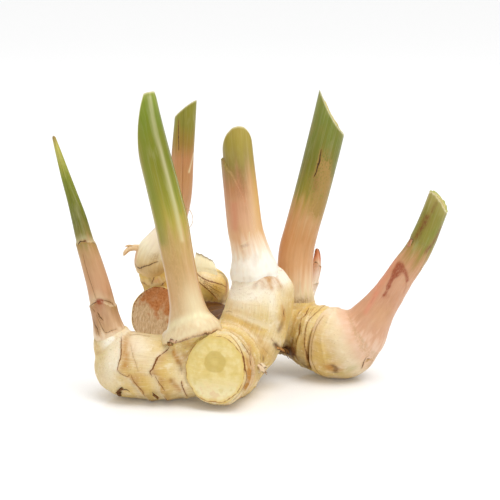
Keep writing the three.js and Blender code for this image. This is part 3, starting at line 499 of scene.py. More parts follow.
def ring_noise(angle, along, seed, size=1.0):
    """Noise that closes round a limb: value noise at (cos angle, sin angle, along)."""
    angle, along = np.broadcast_arrays(angle, along)
    return noise(np.stack([2.2 * np.cos(angle), 2.2 * np.sin(angle), along], -1), size, seed)


def turned(angle, degrees):
    """How far an angle is past another one that is given in degrees, from -pi to pi."""
    return np.mod(angle - math.radians(degrees) + math.pi, TURN) - math.pi


def ringed(middle, across, square, radius, angle, oval=(1, 1)):
    """Points round a middle line: middle + r (u across cos a + v square sin a), where u and v are oval factors."""
    return (middle + (radius * oval[0] * np.cos(angle))[..., None] * across
            + (radius * oval[1] * np.sin(angle))[..., None] * square)


def curve(keys, count=300):
    """Points on the uniform Catmull-Rom curve through the keys, straight on past both ends: the position and radius
    at u are the cubic of the four keys round u. Also gives each point's distance along the curve."""
    k = np.asarray(keys, float)
    padded = np.vstack([2 * k[0] - k[1], k, 2 * k[-1] - k[-2]])
    t = np.linspace(0, len(k) - 1 - 1e-9, count)
    i = t.astype(int)
    u = (t - i)[:, None]
    a, b, c, d = (padded[i + n] for n in range(4))
    line = 0.5 * (2 * b + (c - a) * u + (2 * a - 5 * b + 4 * c - d) * u ** 2 + (3 * b - a - 3 * c + d) * u ** 3)
    along = np.concatenate([[0], np.cumsum(np.linalg.norm(np.diff(line[:, :3], axis=0), axis=1))])
    return line, along


class Path:
    """A limb's or stem's middle line, with its radius and a frame (tangent, across, square) at any distance."""

    def __init__(self, spec):
        self.spec = spec
        self.line, self.along = curve(spec["keys"])
        self.length = self.along[-1]
        tangent = np.gradient(self.line[:, :3], self.along, axis=0)
        self.tangent = tangent / np.linalg.norm(tangent, axis=1, keepdims=True)
        side = np.array(spec.get("side", FRONT), float)
        across = side - (self.tangent @ side)[:, None] * self.tangent
        self.across = across / np.linalg.norm(across, axis=1, keepdims=True)
        self.square = np.cross(self.tangent, self.across)
        self.oval = spec.get("oval", (1, 1))

    def at(self, along):
        """Middle point, radius and frame at each distance. Past an end the line runs straight and the radius goes
        on at its last rate."""
        s = np.clip(along, 0, self.length)

        def pick(table):
            return np.stack([np.interp(s, self.along, column) for column in table.T], -1)

        line = pick(self.line)
        tangent = pick(self.tangent)
        over = (along - s)[..., None]
        rate = (self.line[[3, -1], 3] - self.line[[0, -4], 3]) / (self.along[[3, -1]] - self.along[[0, -4]])
        radius = line[..., 3] + over[..., 0] * np.where(over[..., 0] < 0, rate[0], rate[1])
        return line[..., :3] + over * tangent, radius, tangent, pick(self.across), pick(self.square)

    def dome(self, along):
        """Share of the radius left near a rounded end: an ellipse's height."""
        reach = self.spec.get("dome", 0)
        if not reach:
            return np.ones_like(along)
        return np.sqrt(np.clip(1 - (1 - np.clip(self.length - along, 0, reach) / reach) ** 2, 0, 1))

    def flattened(self, along, angle, radius):
        """The radius with the limb's flat sides: round the angle a that a flat faces, it is at most
        k r / cos(angle - a)."""
        for low, high, degrees, share in self.spec.get("flats", ()):
            facing = np.cos(angle - math.radians(degrees))
            cap = share * radius / np.maximum(facing, 0.3)
            here = 0.9 * ease(along, low, low + 6) * (1 - ease(along, high - 6, high)) * (facing > 0.3)
            radius = radius - here * np.maximum(0, radius - cap)
        return radius

    def locate(self, points):
        """Each point's distance along, angle, distance from the middle line and the limb's own radius there."""
        found = []
        for block in np.array_split(points, max(1, len(points) // 6000)):
            gap = ((block[:, None, :] - self.line[None, ::2, :3]) ** 2).sum(-1)
            near = self.along[::2][gap.argmin(1)]
            for _ in range(2):
                middle, radius, tangent = self.at(near)[:3]
                near = near + ((block - middle) * tangent).sum(-1)
                near = np.clip(near, -2, self.length + 4)
            middle, radius, _, across, square = self.at(near)
            off = block - middle
            x = (off * across).sum(-1) / self.oval[0]
            y = (off * square).sum(-1) / self.oval[1]
            angle = np.arctan2(y, x)
            full = self.flattened(near, angle, radius * self.dome(near))
            found.append(np.stack([near, angle, np.hypot(x, y), full], -1))
        return np.concatenate(found).T


def edge_lines(spec, angle):
    """Where each scale edge lies at an angle: a line through its points round the limb, plus a ragged wobble."""
    lines = []
    for number, (_, places) in enumerate(spec["edges"]):
        degrees, along = np.array(sorted(places), float).T
        seed = spec["seed"] * 31 + number
        level = np.interp(np.degrees(angle), degrees, along, period=360) if len(places) > 1 else along[0]
        loose = 1.0 if len(places) > 1 else 2.2
        broad, fine = ring_noise(angle, 0.0, seed, 1.0), ring_noise(angle, 0.0, seed + 7, 0.22)
        lines.append(level + loose * 0.55 * broad + 0.22 * fine)
    return np.array(lines).reshape(len(lines), *np.shape(angle))


def scale_relief(spec, along, angle, step):
    """Relief and edge facts of overlapping scales: between two edges the surface climbs as the square of the way
    gone, and it drops just past each edge. Gives relief, signed distance to the nearest edge, darkness of that
    edge, dryness just before an edge and paleness just past one."""
    shape = np.shape(along)
    step = step * spec.get("step", 1.0)
    if not spec["edges"]:
        far = np.full(shape, NO_LINE[0])
        return np.zeros(shape), far, np.zeros(shape), np.zeros(shape), np.zeros(shape)
    lines = edge_lines(spec, angle)
    order = np.argsort(lines, axis=0)
    lines = np.take_along_axis(lines, order, axis=0)
    ink = np.array([dark for dark, _ in spec["edges"]])[order]
    pitch = 8.0
    low = np.concatenate([lines[:1] - pitch, lines])
    high = np.concatenate([lines, lines[-1:] + pitch])
    count = (lines <= along).sum(axis=0)[None]
    before = np.take_along_axis(low, count, axis=0)[0]
    after = np.take_along_axis(high, count, axis=0)[0]
    last = count[0] == len(lines)
    first = count[0] == 0
    way = np.clip((along - before) / (after - before), 0, 1)
    climb = np.where(last, 0, way ** 2)
    fall = np.where(first, 0, 1 - ease(along - before, 0.0, 0.8))
    relief = step * np.maximum(climb, fall)
    past = np.where(first, FAR, along - before)
    ahead = np.where(last, FAR, after - along)
    signed = np.where(past < ahead, past, -ahead)
    inks = np.concatenate([ink[:1], ink, ink[-1:]])
    ink_before = np.take_along_axis(inks, count, axis=0)[0]
    ink_after = np.take_along_axis(inks, count + 1, axis=0)[0]
    dark = np.where(past < ahead, ink_before, ink_after)
    broken = 0.55 + 0.75 * ring_noise(angle, 0.0, spec["seed"] * 17 + 3, 0.35)
    reach = np.minimum(6.0, 0.5 * (after - before))
    dry = np.clip(1 - ahead / reach, 0, 1) ** 1.3 * dark
    pale = np.clip(1 - past / reach, 0, 1) ** 1.2 * dark
    return relief, signed, dark * np.clip(broken, 0.1, 1.2), dry, pale


def patches_of(owner, along, angle, radius):
    """The colour patches and bumps of one limb: each is a bell exp(-(da/ra)^2 - (dr/rr)^2) round its middle."""
    total = np.zeros((*np.shape(along), len(CHANNELS)))
    for place, degrees, reach_along, reach_round, kind, strength in PATCHES.get(owner, ()):
        aside = turned(angle, degrees) * radius
        bell = np.exp(-((along - place) / reach_along) ** 2 - (aside / reach_round) ** 2)
        total[..., CHANNELS[kind]] += strength * bell
    return total


def grid_faces(rows, cols):
    """Quads of a grid that closes round its columns, with outward faces for columns that turn anticlockwise."""
    i = np.arange(rows - 1)[:, None] * cols
    j = np.arange(cols)[None, :]
    k = (j + 1) % cols
    return np.stack([i + j, i + k, i + cols + k, i + cols + j], -1).reshape(-1, 4)


def end_fans(rows, cols):
    """Triangles that close a grid's first and last row, each round one extra point that comes after the grid's."""
    j = np.arange(cols)
    k = (j + 1) % cols
    last = (rows - 1) * cols
    return np.concatenate([np.stack([np.full(cols, rows * cols), k, j], -1),
                           np.stack([np.full(cols, rows * cols + 1), last + j, last + k], -1)])


def tube(path, rows=60, cols=48, inset=0.0, start=0.0, end=None):
    """A closed solid of circles or ovals along the path, as points, quads and triangles."""
    along = np.linspace(start, path.length if end is None else end, rows)[:, None]
    angle = np.linspace(0, TURN, cols, endpoint=False)[None, :]
    along, angle = np.broadcast_arrays(along, angle)
    middle, radius, _, across, square = path.at(along)
    radius = np.maximum(0.05, path.flattened(along, angle, (radius - inset) * path.dome(along)))
    points = ringed(middle, across, square, radius, angle, path.oval)
    ends = np.stack([points[0].mean(0), points[-1].mean(0)])
    return np.concatenate([points.reshape(-1, 3), ends]), grid_faces(rows, cols), end_fans(rows, cols)


def write_mesh(name, points, quads, triangles, scale=MM, shift=ORIGIN):
    """A mesh from points in millimetres, with its quads first and its triangles after them."""
    mesh = bpy.data.meshes.new(name)
    quads = np.asarray(quads, np.int32).reshape(-1, 4)
    triangles = np.asarray(triangles, np.int32).reshape(-1, 3)
    mesh.vertices.add(len(points))
    mesh.vertices.foreach_set("co", ((points - shift) * scale).astype(np.float32).ravel())
    mesh.loops.add(quads.size + triangles.size)
    mesh.loops.foreach_set("vertex_index", np.concatenate([quads.ravel(), triangles.ravel()]))
    mesh.polygons.add(len(quads) + len(triangles))
    starts = np.concatenate([np.arange(len(quads)) * 4, quads.size + np.arange(len(triangles)) * 3])
    mesh.polygons.foreach_set("loop_start", starts.astype(np.int32))
    mesh.update(calc_edges=True)
    return mesh


def grown_skin(solids, voxel, rounds):
    """One skin round overlapping solids: their union by voxels, then rounds of moving each point halfway to the
    mean of its neighbours, which fills the creases as grown tissue does. Gives points, quads and edges."""
    count = 0
    points, quads, lids = [], [], []
    for solid in solids:
        points.append(solid[0])
        quads.append(solid[1] + count)
        lids.append(solid[2] + count)
        count += len(solid[0])
    mesh = write_mesh("grown", np.concatenate(points), np.concatenate(quads), np.concatenate(lids), 1.0, np.zeros(3))
    body = bpy.data.objects.new("grown", mesh)
    bpy.context.scene.collection.objects.link(body)
    remesh = body.modifiers.new("voxels", "REMESH")
    remesh.mode = "VOXEL"
    remesh.voxel_size = voxel
    merged = bpy.data.meshes.new_from_object(body.evaluated_get(bpy.context.evaluated_depsgraph_get()))
    bpy.data.objects.remove(body)
    verts = np.empty(len(merged.vertices) * 3)
    merged.vertices.foreach_get("co", verts)
    verts = verts.reshape(-1, 3)
    corners = np.empty(len(merged.loops), np.int32)
    merged.loops.foreach_get("vertex_index", corners)
    faces = corners.reshape(-1, 4)
    edges = np.empty(len(merged.edges) * 2, np.int32)
    merged.edges.foreach_get("vertices", edges)
    edges = edges.reshape(-1, 2)
    bpy.data.meshes.remove(merged)
    bpy.data.meshes.remove(mesh)
    return spread(verts, edges, rounds), faces, edges


def spread(values, edges, rounds, share=0.5):
    """Rounds of moving each point's value a share of the way to the mean of its neighbours' values."""
    values = np.array(values, float)
    flat = values.reshape(len(values), -1)
    both = np.concatenate([edges[:, 0], edges[:, 1]])
    other = np.concatenate([edges[:, 1], edges[:, 0]])
    number = np.maximum(1, np.bincount(both, minlength=len(values)))
    for _ in range(rounds):
        for column in range(flat.shape[1]):
            mean = np.bincount(both, flat[other, column], minlength=len(values)) / number
            flat[:, column] += share * (mean - flat[:, column])
    return flat.reshape(values.shape)


def point_normals(points, quads):
    """Normals at points: the sum of the cross products of each quad's diagonals, made unit length."""
    cross = np.cross(points[quads[:, 2]] - points[quads[:, 0]], points[quads[:, 3]] - points[quads[:, 1]])
    total = np.zeros_like(points)
    for column in range(3):
        for corner in range(4):
            total[:, column] += np.bincount(quads[:, corner], cross[:, column], minlength=len(points))
    return total / np.maximum(1e-9, np.linalg.norm(total, axis=1, keepdims=True))


def marks_of(owner, along, angle, radius):
    """The marks of one limb. Lengths are taken on the unrolled surface (along, radius times turn). Stains add bells
    exp(-(d/w)^2) of the distance d to their line. Of the crisp lines the nearest counts: its signed distance, its
    half width, which tapers to both ends, and its strength, which is gone 2 mm away and past its ends."""
    shape = np.shape(along)
    stain = np.zeros((*shape, len(CHANNELS)))
    nearest = np.full(shape, FAR)
    signed, width, strength = (np.full(shape, value) for value in NO_LINE)
    for kind, half, power, places in MARKS.get(owner, ()):
        gap = np.full(shape, FAR)
        for number, (start, stop) in enumerate(zip(places[:-1], places[1:])):
            across, ahead = turned(angle, start[1]) * radius, along - start[0]
            bend = math.radians((stop[1] - start[1] + 180) % 360 - 180)
            reach = np.stack([np.full(shape, stop[0] - start[0]), bend * radius], -1)
            size = np.maximum(0.2, np.linalg.norm(reach, axis=-1))
            way = (ahead * reach[..., 0] + across * reach[..., 1]) / size
            side = (across * reach[..., 0] - ahead * reach[..., 1]) / size
            over = np.maximum(0, np.maximum(-way, way - size))
            distance = np.hypot(side, over)
            closer = distance < gap
            gap = np.where(closer, distance, gap)
            if kind == "line":
                best = distance < nearest
                share = (number + np.clip(way / size, 0, 1)) / (len(places) - 1)
                nearest = np.where(best, distance, nearest)
                signed = np.where(best, np.where(side < 0, -distance, distance), signed)
                width = np.where(best, half * (0.38 + 0.58 * np.sin(math.pi * share)), width)
                strength = np.where(best, power * (1 - ease(over, 0, 0.6)) * (1 - ease(distance, 1.2, 2.2)), strength)
        if kind != "line":
            stain[..., CHANNELS[kind]] += power * np.exp(-(gap / (1.25 * half)) ** 2)
    return stain, nearest, signed, width, strength


def surface_facts(owner, spec, along, angle, radius, step):
    """What the skin's material reads at each point of one limb: relief in millimetres, crisp line (signed distance,
    half width, strength), tints and the place along the grain."""
    relief, signed, ink, dry, pale = scale_relief(spec, along, angle, step)
    stain, nearest, mark, width, strength = marks_of(owner, along, angle, radius)
    tints = patches_of(owner, along, angle, radius) + stain
    tints[..., CHANNELS["dry"]] += 0.75 * dry
    tints[..., CHANNELS["pale"]] += 0.45 * pale
    relief = relief + 0.8 * tints[..., CHANNELS["bump"]]
    edge_strength = ink * (1 - ease(np.abs(signed), 1.2, 2.2)) * ease(nearest, 2.0, 3.5)
    marked = nearest < 2.6
    line = np.stack([np.where(marked, mark, signed), np.where(marked, width, 0.12 + 0.16 * ink),
                     np.where(marked, strength, edge_strength)], -1)
    grain = np.stack([radius * np.cos(angle), radius * np.sin(angle), along], -1)
    return relief, line, tints, grain


def limb_facts(points, limbs, step):
    """Relief and facts of every point on a skin of several limbs. A point takes those of the limb whose surface is
    nearest, less that limb's lead, and they fade out where two limbs' surfaces meet."""
    names = list(limbs)
    places = np.stack([limbs[name].locate(points) for name in names])
    height = np.abs(places[:, 2] - places[:, 3])
    lengths = np.array([[limbs[name].length] for name in names])
    height += 2.0 * np.maximum(0, np.maximum(places[:, 0] - lengths, -places[:, 0]))
    height -= np.array([[limbs[name].spec.get("lead", 0.0)] for name in names])
    best = height.argmin(axis=0)
    rank = np.sort(height, axis=0)
    clear = ease(rank[1] - rank[0], 0.2, 2.4)
    relief = np.zeros(len(points))
    facts = {"line": np.zeros((len(points), 3)), "clear": clear, "tints": np.zeros((len(points), len(CHANNELS))),
             "grain": np.zeros((len(points), 3)), "places": places}
    for number, name in enumerate(names):
        mine = best == number
        along, angle, _, radius = places[number][:, mine]
        found = surface_facts(name, limbs[name].spec, along, angle, np.maximum(radius, 2), step)
        relief[mine] = found[0] * clear[mine]
        facts["line"][mine] = found[1]
        facts["tints"][mine] = found[2]
        facts["grain"][mine] = found[3]
    facts["line"][:, 2] *= clear
    return relief, facts


def behind_cut(points, path, gap):
    """Keeps the skin behind a sawn end: inside the end's own width a point stays the gap behind the plane, and
    outside it the limit moves on by 0.9 for each millimetre sideways."""
    middle, radius, tangent = (part[0] for part in path.at(np.array([path.length]))[:3])
    off = points - middle
    ahead = off @ tangent
    aside = np.linalg.norm(off - ahead[:, None] * tangent, axis=1)
    limit = 0.9 * np.maximum(0, aside - 1.1 * radius) - gap
    over = np.maximum(0, ahead - limit) * (aside < 2.0 * radius) * (ahead < 9)
    return points - over[:, None] * tangent


def joined(parts):
    """Several pieces of surface as one: points, quads, triangles, facts and material numbers, one after another."""
    count = 0
    points, quads, triangles, quad_finish, lid_finish = [], [], [], [], []
    facts = {key: [] for key in ("line", "tints", "grain", "spot")}
    for part in parts:
        points.append(part["points"])
        quads.append(part["quads"] + count)
        triangles.append(part["triangles"] + count)
        quad_finish.append(part["quad_finish"])
        lid_finish.append(part["lid_finish"])
        for key in facts:
            facts[key].append(part[key])
        count += len(part["points"])
    whole = {key: np.concatenate(value) for key, value in facts.items()}
    whole["points"] = np.concatenate(points)
    whole["quads"] = np.concatenate(quads)
    whole["triangles"] = np.concatenate(triangles)
    whole["finish"] = np.concatenate(quad_finish + lid_finish)
    return whole


def make_piece(name, parts, finishes, node):
    """One object from parts of surface, with its facts as attributes, standing for a node of the frame."""
    whole = joined(parts)
    mesh = write_mesh(name, whole["points"], whole["quads"], whole["triangles"])
    tints = whole["tints"]
    vectors = {
        "grain": whole["grain"], "line": whole["line"], "tint_a": tints[:, 0:3], "tint_b": tints[:, 3:6],
        "tint_c": tints[:, [CHANNELS["olive"], CHANNELS["scar"], CHANNELS["stem"]]], "spot": whole["spot"],
    }
    for key, value in vectors.items():
        layer = mesh.attributes.new(key, "FLOAT_VECTOR", "POINT")
        layer.data.foreach_set("vector", value.astype(np.float32).ravel())
    mesh.polygons.foreach_set("material_index", whole["finish"].astype(np.int32))
    for finish in finishes:
        mesh.materials.append(finish)
    mesh.shade_smooth()
    mesh.set_sharp_from_angle(angle=math.radians(50))
    piece = bpy.data.objects.new(name, mesh)
    bpy.context.scene.collection.objects.link(piece)
    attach(piece, "root")
    if node:
        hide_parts(node)


def wall_part(points, quads, line, tints, grain, place):
    """A part without lids. Its spot is (1, 0, place), for a material that reads how far along a point lies."""
    points, line, tints, grain = (value.reshape(-1, value.shape[-1]) for value in (points, line, tints, grain))
    count = len(points)
    spot = np.stack([np.ones(count), np.zeros(count), np.broadcast_to(np.ravel(place), count)], -1)
    return dict(points=points, quads=quads, triangles=np.zeros((0, 3), int), quad_finish=np.zeros(len(quads)),
                lid_finish=np.zeros(0), line=line, tints=tints, grain=grain, spot=spot)


def cut_disc(rim, axis, grain, seed, rings, layers=0, depth=0.0, cut=1.0):
    """A cut end: rings of points drawn in from the rim to its middle, centre + (rim - centre) p, each lowered by
    depth at the grooves between rolled layers and by a fine unevenness of the knife's stroke. Its spot is
    (p, cut, 0)."""
    cols = len(rim)
    centre = rim.mean(0)
    share = np.linspace(1, 0, rings + 1)[:-1, None, None]
    points = centre + (rim[None] - centre) * share
    p = share[..., 0] * np.ones((1, cols))
    angle = np.linspace(0, TURN, cols, endpoint=False)[None] * np.ones((rings, 1))
    wander = 0.06 * ring_noise(angle, 0.0, seed, 0.8)
    groove = np.zeros_like(p)
    if layers:
        number = np.floor((1 - p + wander * (p < 0.98)) * layers)
        inside = np.mod((1 - p + wander) * layers, 1.0)
        groove = np.exp(-(np.minimum(inside, 1 - inside) / 0.13) ** 2) * (p < 0.95)
        level = np.sin(number * 2.4 + seed) * 0.5 + 0.2
        groove = groove + level * ease(1 - p, 0.02, 0.1)
    rough = 0.1 * noise(points, 1.6, seed + 5) * ease(1 - p, 0.01, 0.06)
    points = points - (depth * groove + rough)[..., None] * axis
    middle = points[-1].mean(0)[None]
    faces = grid_faces(rings, cols)
    last = (rings - 1) * cols
    j = np.arange(cols)
    lids = np.stack([np.full(cols, rings * cols), last + j, last + (j + 1) % cols], -1)
    count = rings * cols + 1
    spot = np.zeros((count, 3))
    spot[:-1, 0] = p.ravel()
    spot[:, 1] = cut
    flat = np.concatenate([points.reshape(-1, 3), middle])
    across = np.concatenate([(grain[None] * share).reshape(-1, 3), grain.mean(0)[None]])
    return dict(points=flat, quads=faces, triangles=lids, quad_finish=np.ones(len(faces)), lid_finish=np.ones(cols),
                line=np.tile(NO_LINE, (count, 1)), tints=np.zeros((count, len(CHANNELS))), grain=across, spot=spot)


def foot_disc(rim, tangent, grain, seed):
    """The end that closes a wall's first row. It faces back along the limb and stays hidden."""
    foot = cut_disc(rim, -tangent, grain, seed, rings=3, cut=0.0)
    foot["quads"] = foot["quads"][:, ::-1]
    foot["triangles"] = foot["triangles"][:, ::-1]
    return foot


def stroke(cut):
    """A knife stroke's plane: its point, normal and the way its high tip faces."""
    axis = np.array(cut["along"], float)
    axis /= np.linalg.norm(axis)
    turn = math.radians(cut["high"])
    tip = np.array([math.sin(turn), -math.cos(turn), 0.0])
    tip -= tip @ axis * axis
    tip /= np.linalg.norm(tip)
    normal = axis - cut["slope"] * tip
    return np.array(cut["at"], float), normal / np.linalg.norm(normal), tip, axis


def sheath_points(path, along, turn):
    """Points on a rolled leaf sheath: middle + r (across cos a + square sin a), where a is the turn from the
    sheath's free edge plus that edge's own angle, and r falls by the sheath's thickness over one turn."""
    spec = path.spec
    edge_angle = spec["wrap_at"] + spec["wrap_turn"] * along / path.length
    angle = turn + edge_angle
    middle, radius, _, across, square = path.at(along)
    rolled = spec["wrap"] * (1 - turn / TURN) * ease(along, 0, 6)
    relief, line, tints, grain = surface_facts(spec["name"], spec, along, angle, np.maximum(radius, 1), STEM_RELIEF)
    relief = relief - 0.2 * line[..., 2] * np.exp(-(line[..., 0] / 0.5) ** 2)
    lumps = 0.12 * noise(grain * [1, 1, 0.25], 5.0, spec["seed"])
    dome = path.dome(along)
    keel = 0.0
    for degrees, height, reach in spec.get("keels", ()):
        keel = keel + height * np.exp(-np.abs(turned(angle, degrees) / reach) ** 1.5) * ease(along, 20, 40)
    for end, degrees, reach, thick, soft in spec.get("collars", ()):
        aside = turned(angle, degrees) / math.radians(reach)
        torn = end - 9.0 * aside ** 2 + 1.0 * ring_noise(angle, 0.0, spec["seed"] + 70, 0.4)
        keel = keel + thick * (1 - ease(along, torn - soft, torn + soft))
    total = np.maximum(0.02, (radius + rolled + relief + lumps + keel) * dome)
    return ringed(middle, across, square, total, angle), angle, line, tints, grain


def stem_parts(name, rows, cols, start=-1.6, sink=0.25):
    """A stem's surface: columns that follow the sheath's free edge, from the ragged base to the knife's stroke,
    where each column stops at its own crossing of the plane, and a layered cut end."""
    spec = dict(STEMS[name], name=name)
    path = Path(spec)
    edge_width, edge_gap = 0.035, 0.006  # radians that the free edge's step takes, and that stay open beside it
    turn = np.concatenate([np.linspace(0, TURN - edge_width, cols - 1), [TURN - edge_gap]])[None, :]
    probe = np.linspace(start, path.length - 0.01, 500)[:, None]
    along, turns = np.broadcast_arrays(probe, turn)
    points = sheath_points(path, along, turns)[0]
    low = np.full((1, cols), float(start))
    high = np.full((1, cols), path.length)
    wobble = ring_noise(turn, 0.0, spec["seed"] + 40, 0.5)
    if "seat" in spec:
        normal = np.array(spec["seat"]["normal"], float)
        normal /= np.linalg.norm(normal)
        under = (points - np.array(spec["seat"]["at"])) @ normal + 0.35 * wobble < 0
        low = probe[np.clip(under.sum(0), 0, len(probe) - 1), 0][None]
    else:
        low = low + 0.5 * wobble
    for cut in spec.get("cuts", []):
        at, normal, tip, axis = stroke(cut)
        off = points - at
        reach = path.at(np.array([path.length * 0.85]))[1][0]
        bend = cut.get("dip", 0.0) * np.clip(1 - ((off @ tip) / reach) ** 2, 0, 1)
        ragged = spec.get("ragged", 0.12) * (wobble + 0.6 * ring_noise(turn, 0.0, spec["seed"] + 60, 0.16))
        beyond = off @ normal + bend / (1 + cut["slope"]) + ragged / (1 + cut["slope"])
        crossed = beyond > 0
        first = np.clip(crossed.argmax(0), 1, len(probe) - 1)
        step = probe[1, 0] - probe[0, 0]
        b = np.take_along_axis(beyond, first[None], 0)
        a = np.take_along_axis(beyond, first[None] - 1, 0)
        place = probe[first - 1, 0][None] + step * np.clip(-a / (b - a + 1e-9), 0, 1)
        high = np.minimum(high, np.where(crossed.any(0)[None], place, high))
    share = np.linspace(0, 1, rows)[:, None]
    along = low + (high - low) * share
    turns = turn * np.ones((rows, 1))
    points, angle, line, tints, grain = sheath_points(path, along, turns)
    if spec.get("cuts"):
        tints[..., CHANNELS["pale"]] += 0.9 * np.exp(-((high - along) / 0.55) ** 2)
    middle, radius, tangent = path.at(along)[:3]
    base = along - low
    inward = spec.get("sink", sink) * (1 - ease(base, 0.0, 3.2))
    if "seat" in spec:
        inward = (0.75 * (1 - ease(base, -0.4, 1.2)) - 0.3 * np.exp(-((base - 3.0) / 1.6) ** 2)
                  * (0.6 + ring_noise(angle, base * 0.12, spec["seed"] + 11, 0.7)))
    points = points - inward[..., None] * (points - middle) / np.maximum(0.5, radius)[..., None]
    if "foot_ink" in spec:
        inked = spec["foot_ink"] * (0.7 + 0.5 * ring_noise(angle, 0.0, spec["seed"] + 12, 0.4))
        foot_line = np.stack([base - 0.35, np.full(base.shape, 0.25), 0.8 * np.clip(inked, 0, 1)], -1)
        line = np.where((base < 1.6)[..., None], foot_line, line)
        tints[..., CHANNELS["warm"]] += 0.9 * inked * np.exp(-((base - 0.3) / 0.7) ** 2)
    wall = wall_part(points, grid_faces(rows, cols), line, tints, grain, along)
    if spec.get("cuts"):
        axis = stroke(spec["cuts"][0])[3]
        top = cut_disc(points[-1], axis, grain[-1], spec["seed"], rings=26, layers=5, depth=0.55)
    else:
        top = cut_disc(points[-1], tangent[-1, 0], grain[-1], spec["seed"], rings=4, cut=0.0)
        top["quad_finish"][:] = 0
        top["lid_finish"][:] = 0
    foot = foot_disc(points[0], tangent[0, 0], grain[0], spec["seed"])
    return path, welded(wall, top, foot, rows, cols)


def welded(wall, top, foot, rows, cols):
    """The wall of a stem or limb end with its two ends, each end's first ring being the wall's last or first row."""
    for part, row in ((top, (rows - 1) * cols), (foot, 0)):
        count = len(wall["points"])
        table = np.concatenate([row + np.arange(cols), count + np.arange(len(part["points"]) - cols)])
        wall["quads"] = np.concatenate([wall["quads"], table[part["quads"]]])
        wall["triangles"] = np.concatenate([wall["triangles"], table[part["triangles"]]])
        wall["quad_finish"] = np.concatenate([wall["quad_finish"], part["quad_finish"]])
        wall["lid_finish"] = np.concatenate([wall["lid_finish"], part["lid_finish"]])
        for key in ("points", "line", "tints", "grain", "spot"):
            wall[key] = np.concatenate([wall[key], part[key][cols:]])
    return wall


def limb_end(name, back, rows, cols, rings, bulge):
    """The last stretch of a limb that was sawn through: its skin up to the rim, and the flat face inside it."""
    spec = dict(LIMBS[name], name=name)
    path = Path(spec)
    along = np.linspace(path.length - back, path.length, rows)[:, None]
    turn = np.linspace(0, TURN, cols, endpoint=False)[None, :]
    along, turn = np.broadcast_arrays(along, turn)
    middle, radius, tangent, across, square = path.at(along)
    relief, line, tints, grain = surface_facts(name, spec, along, turn, radius, SAWN_RELIEF)
    emerge = ease(along - (path.length - back), 0, 1.6)
    lumps = 0.3 * noise(grain, 6.0, spec["seed"] + 3)
    rounding = 0.5 * ease(along, path.length - 0.6, path.length + 0.1)
    rim_wave = 0.25 * ring_noise(turn, 0.0, spec["seed"] + 9, 0.6)
    total = radius + relief * emerge + lumps - 0.35 * (1 - emerge) - rounding + rim_wave * emerge
    points = ringed(middle, across, square, total, turn, path.oval)
    wall = wall_part(points, grid_faces(rows, cols), line, tints, grain, NO_LINE[0])
    top = cut_disc(points[-1], tangent[-1, 0], grain[-1], spec["seed"], rings)
    swell = bulge * (1 - top["spot"][:, 0] ** 2)
    top["points"] = top["points"] + swell[:, None] * tangent[-1, 0]
    heart = points[-1].mean(0) + spec.get("heart", 0.0) * square[-1, 0]
    top["spot"][:, 2] = np.linalg.norm(top["points"] - heart, axis=1)
    foot = foot_disc(points[0], tangent[0, 0], grain[0], spec["seed"])
    foot["quad_finish"][:] = 0
    foot["lid_finish"][:] = 0
    return welded(wall, top, foot, rows, cols)


def leaf(corners, bulge, out, tints, seed, thick=0.16, rows=18, cols=28):
    """A torn papery scale between four corners (base left, base right, tip right, tip left): a flat ring of points
    round each row, base + (tip - base) u, bowed out by bulge sin(pi u), with a ragged tip and a thin edge."""
    base_left, base_right, tip_right, tip_left = (np.array(corner, float) for corner in corners)
    across = base_right - base_left
    ahead = (tip_left + tip_right - base_left - base_right) / 2
    normal = np.cross(across, ahead)
    normal /= np.linalg.norm(normal)
    if normal @ np.array(out) < 0:
        base_left, base_right, tip_left, tip_right = base_right, base_left, tip_right, tip_left
        normal = -normal
    turn = np.linspace(0, TURN, cols, endpoint=False)[None, :] * np.ones((rows, 1))
    u = np.linspace(0, 1, rows)[:, None] * np.ones((1, cols))
    v = 0.5 + 0.5 * np.cos(turn)
    side = np.stack([v * 3.1, np.zeros_like(v), np.zeros_like(v)], -1)
    torn = 1 - 0.3 * (0.5 + 0.5 * noise(side, 0.45, seed)) * (u > 0.3)
    v3 = v[..., None]
    base = base_left + (base_right - base_left) * v3
    tip = tip_left + (tip_right - tip_left) * v3
    length = np.linalg.norm(ahead)
    crumple = noise(np.stack([v * 3, u * 2, v * 0], -1), 0.8, seed + 1)
    bow = bulge * np.sin(math.pi * np.clip(u * 0.9, 0, 1)) + 0.35 * crumple * u
    points = (base + (tip - base) * (u * torn)[..., None]
              + (bow + thick * np.sin(turn) * (1.1 - 0.7 * u))[..., None] * normal)
    grain = np.stack([v * np.linalg.norm(across), thick * np.sin(turn), u * length], -1)
    shade = dict(tints)
    shade["brown"] = shade.get("brown", 0) + 0.8 * ease(u, 0.84, 1.0)
    return small_part(points, grain, shade)


def strand(keys, tints, cols=8, rows=26):
    """A root hair or fibre: circles along the curve through its keys, closed by a rounded tip."""
    path = Path(dict(keys=keys, dome=2.5 * keys[-1][3]))
    along = np.linspace(0, path.length, rows)[:, None]
    turn = np.linspace(0, TURN, cols, endpoint=False)[None, :]
    along, turn = np.broadcast_arrays(along, turn)
    middle, radius, _, across, square = path.at(along)
    seed = int(abs(keys[0][0]) * 7)
    radius = np.maximum(0.03, radius * path.dome(along)) * (1 + 0.12 * ring_noise(turn, along, seed, 1.1))
    grain = np.stack([radius * np.cos(turn), radius * np.sin(turn), along], -1)
    return small_part(ringed(middle, across, square, radius, turn), grain, tints)


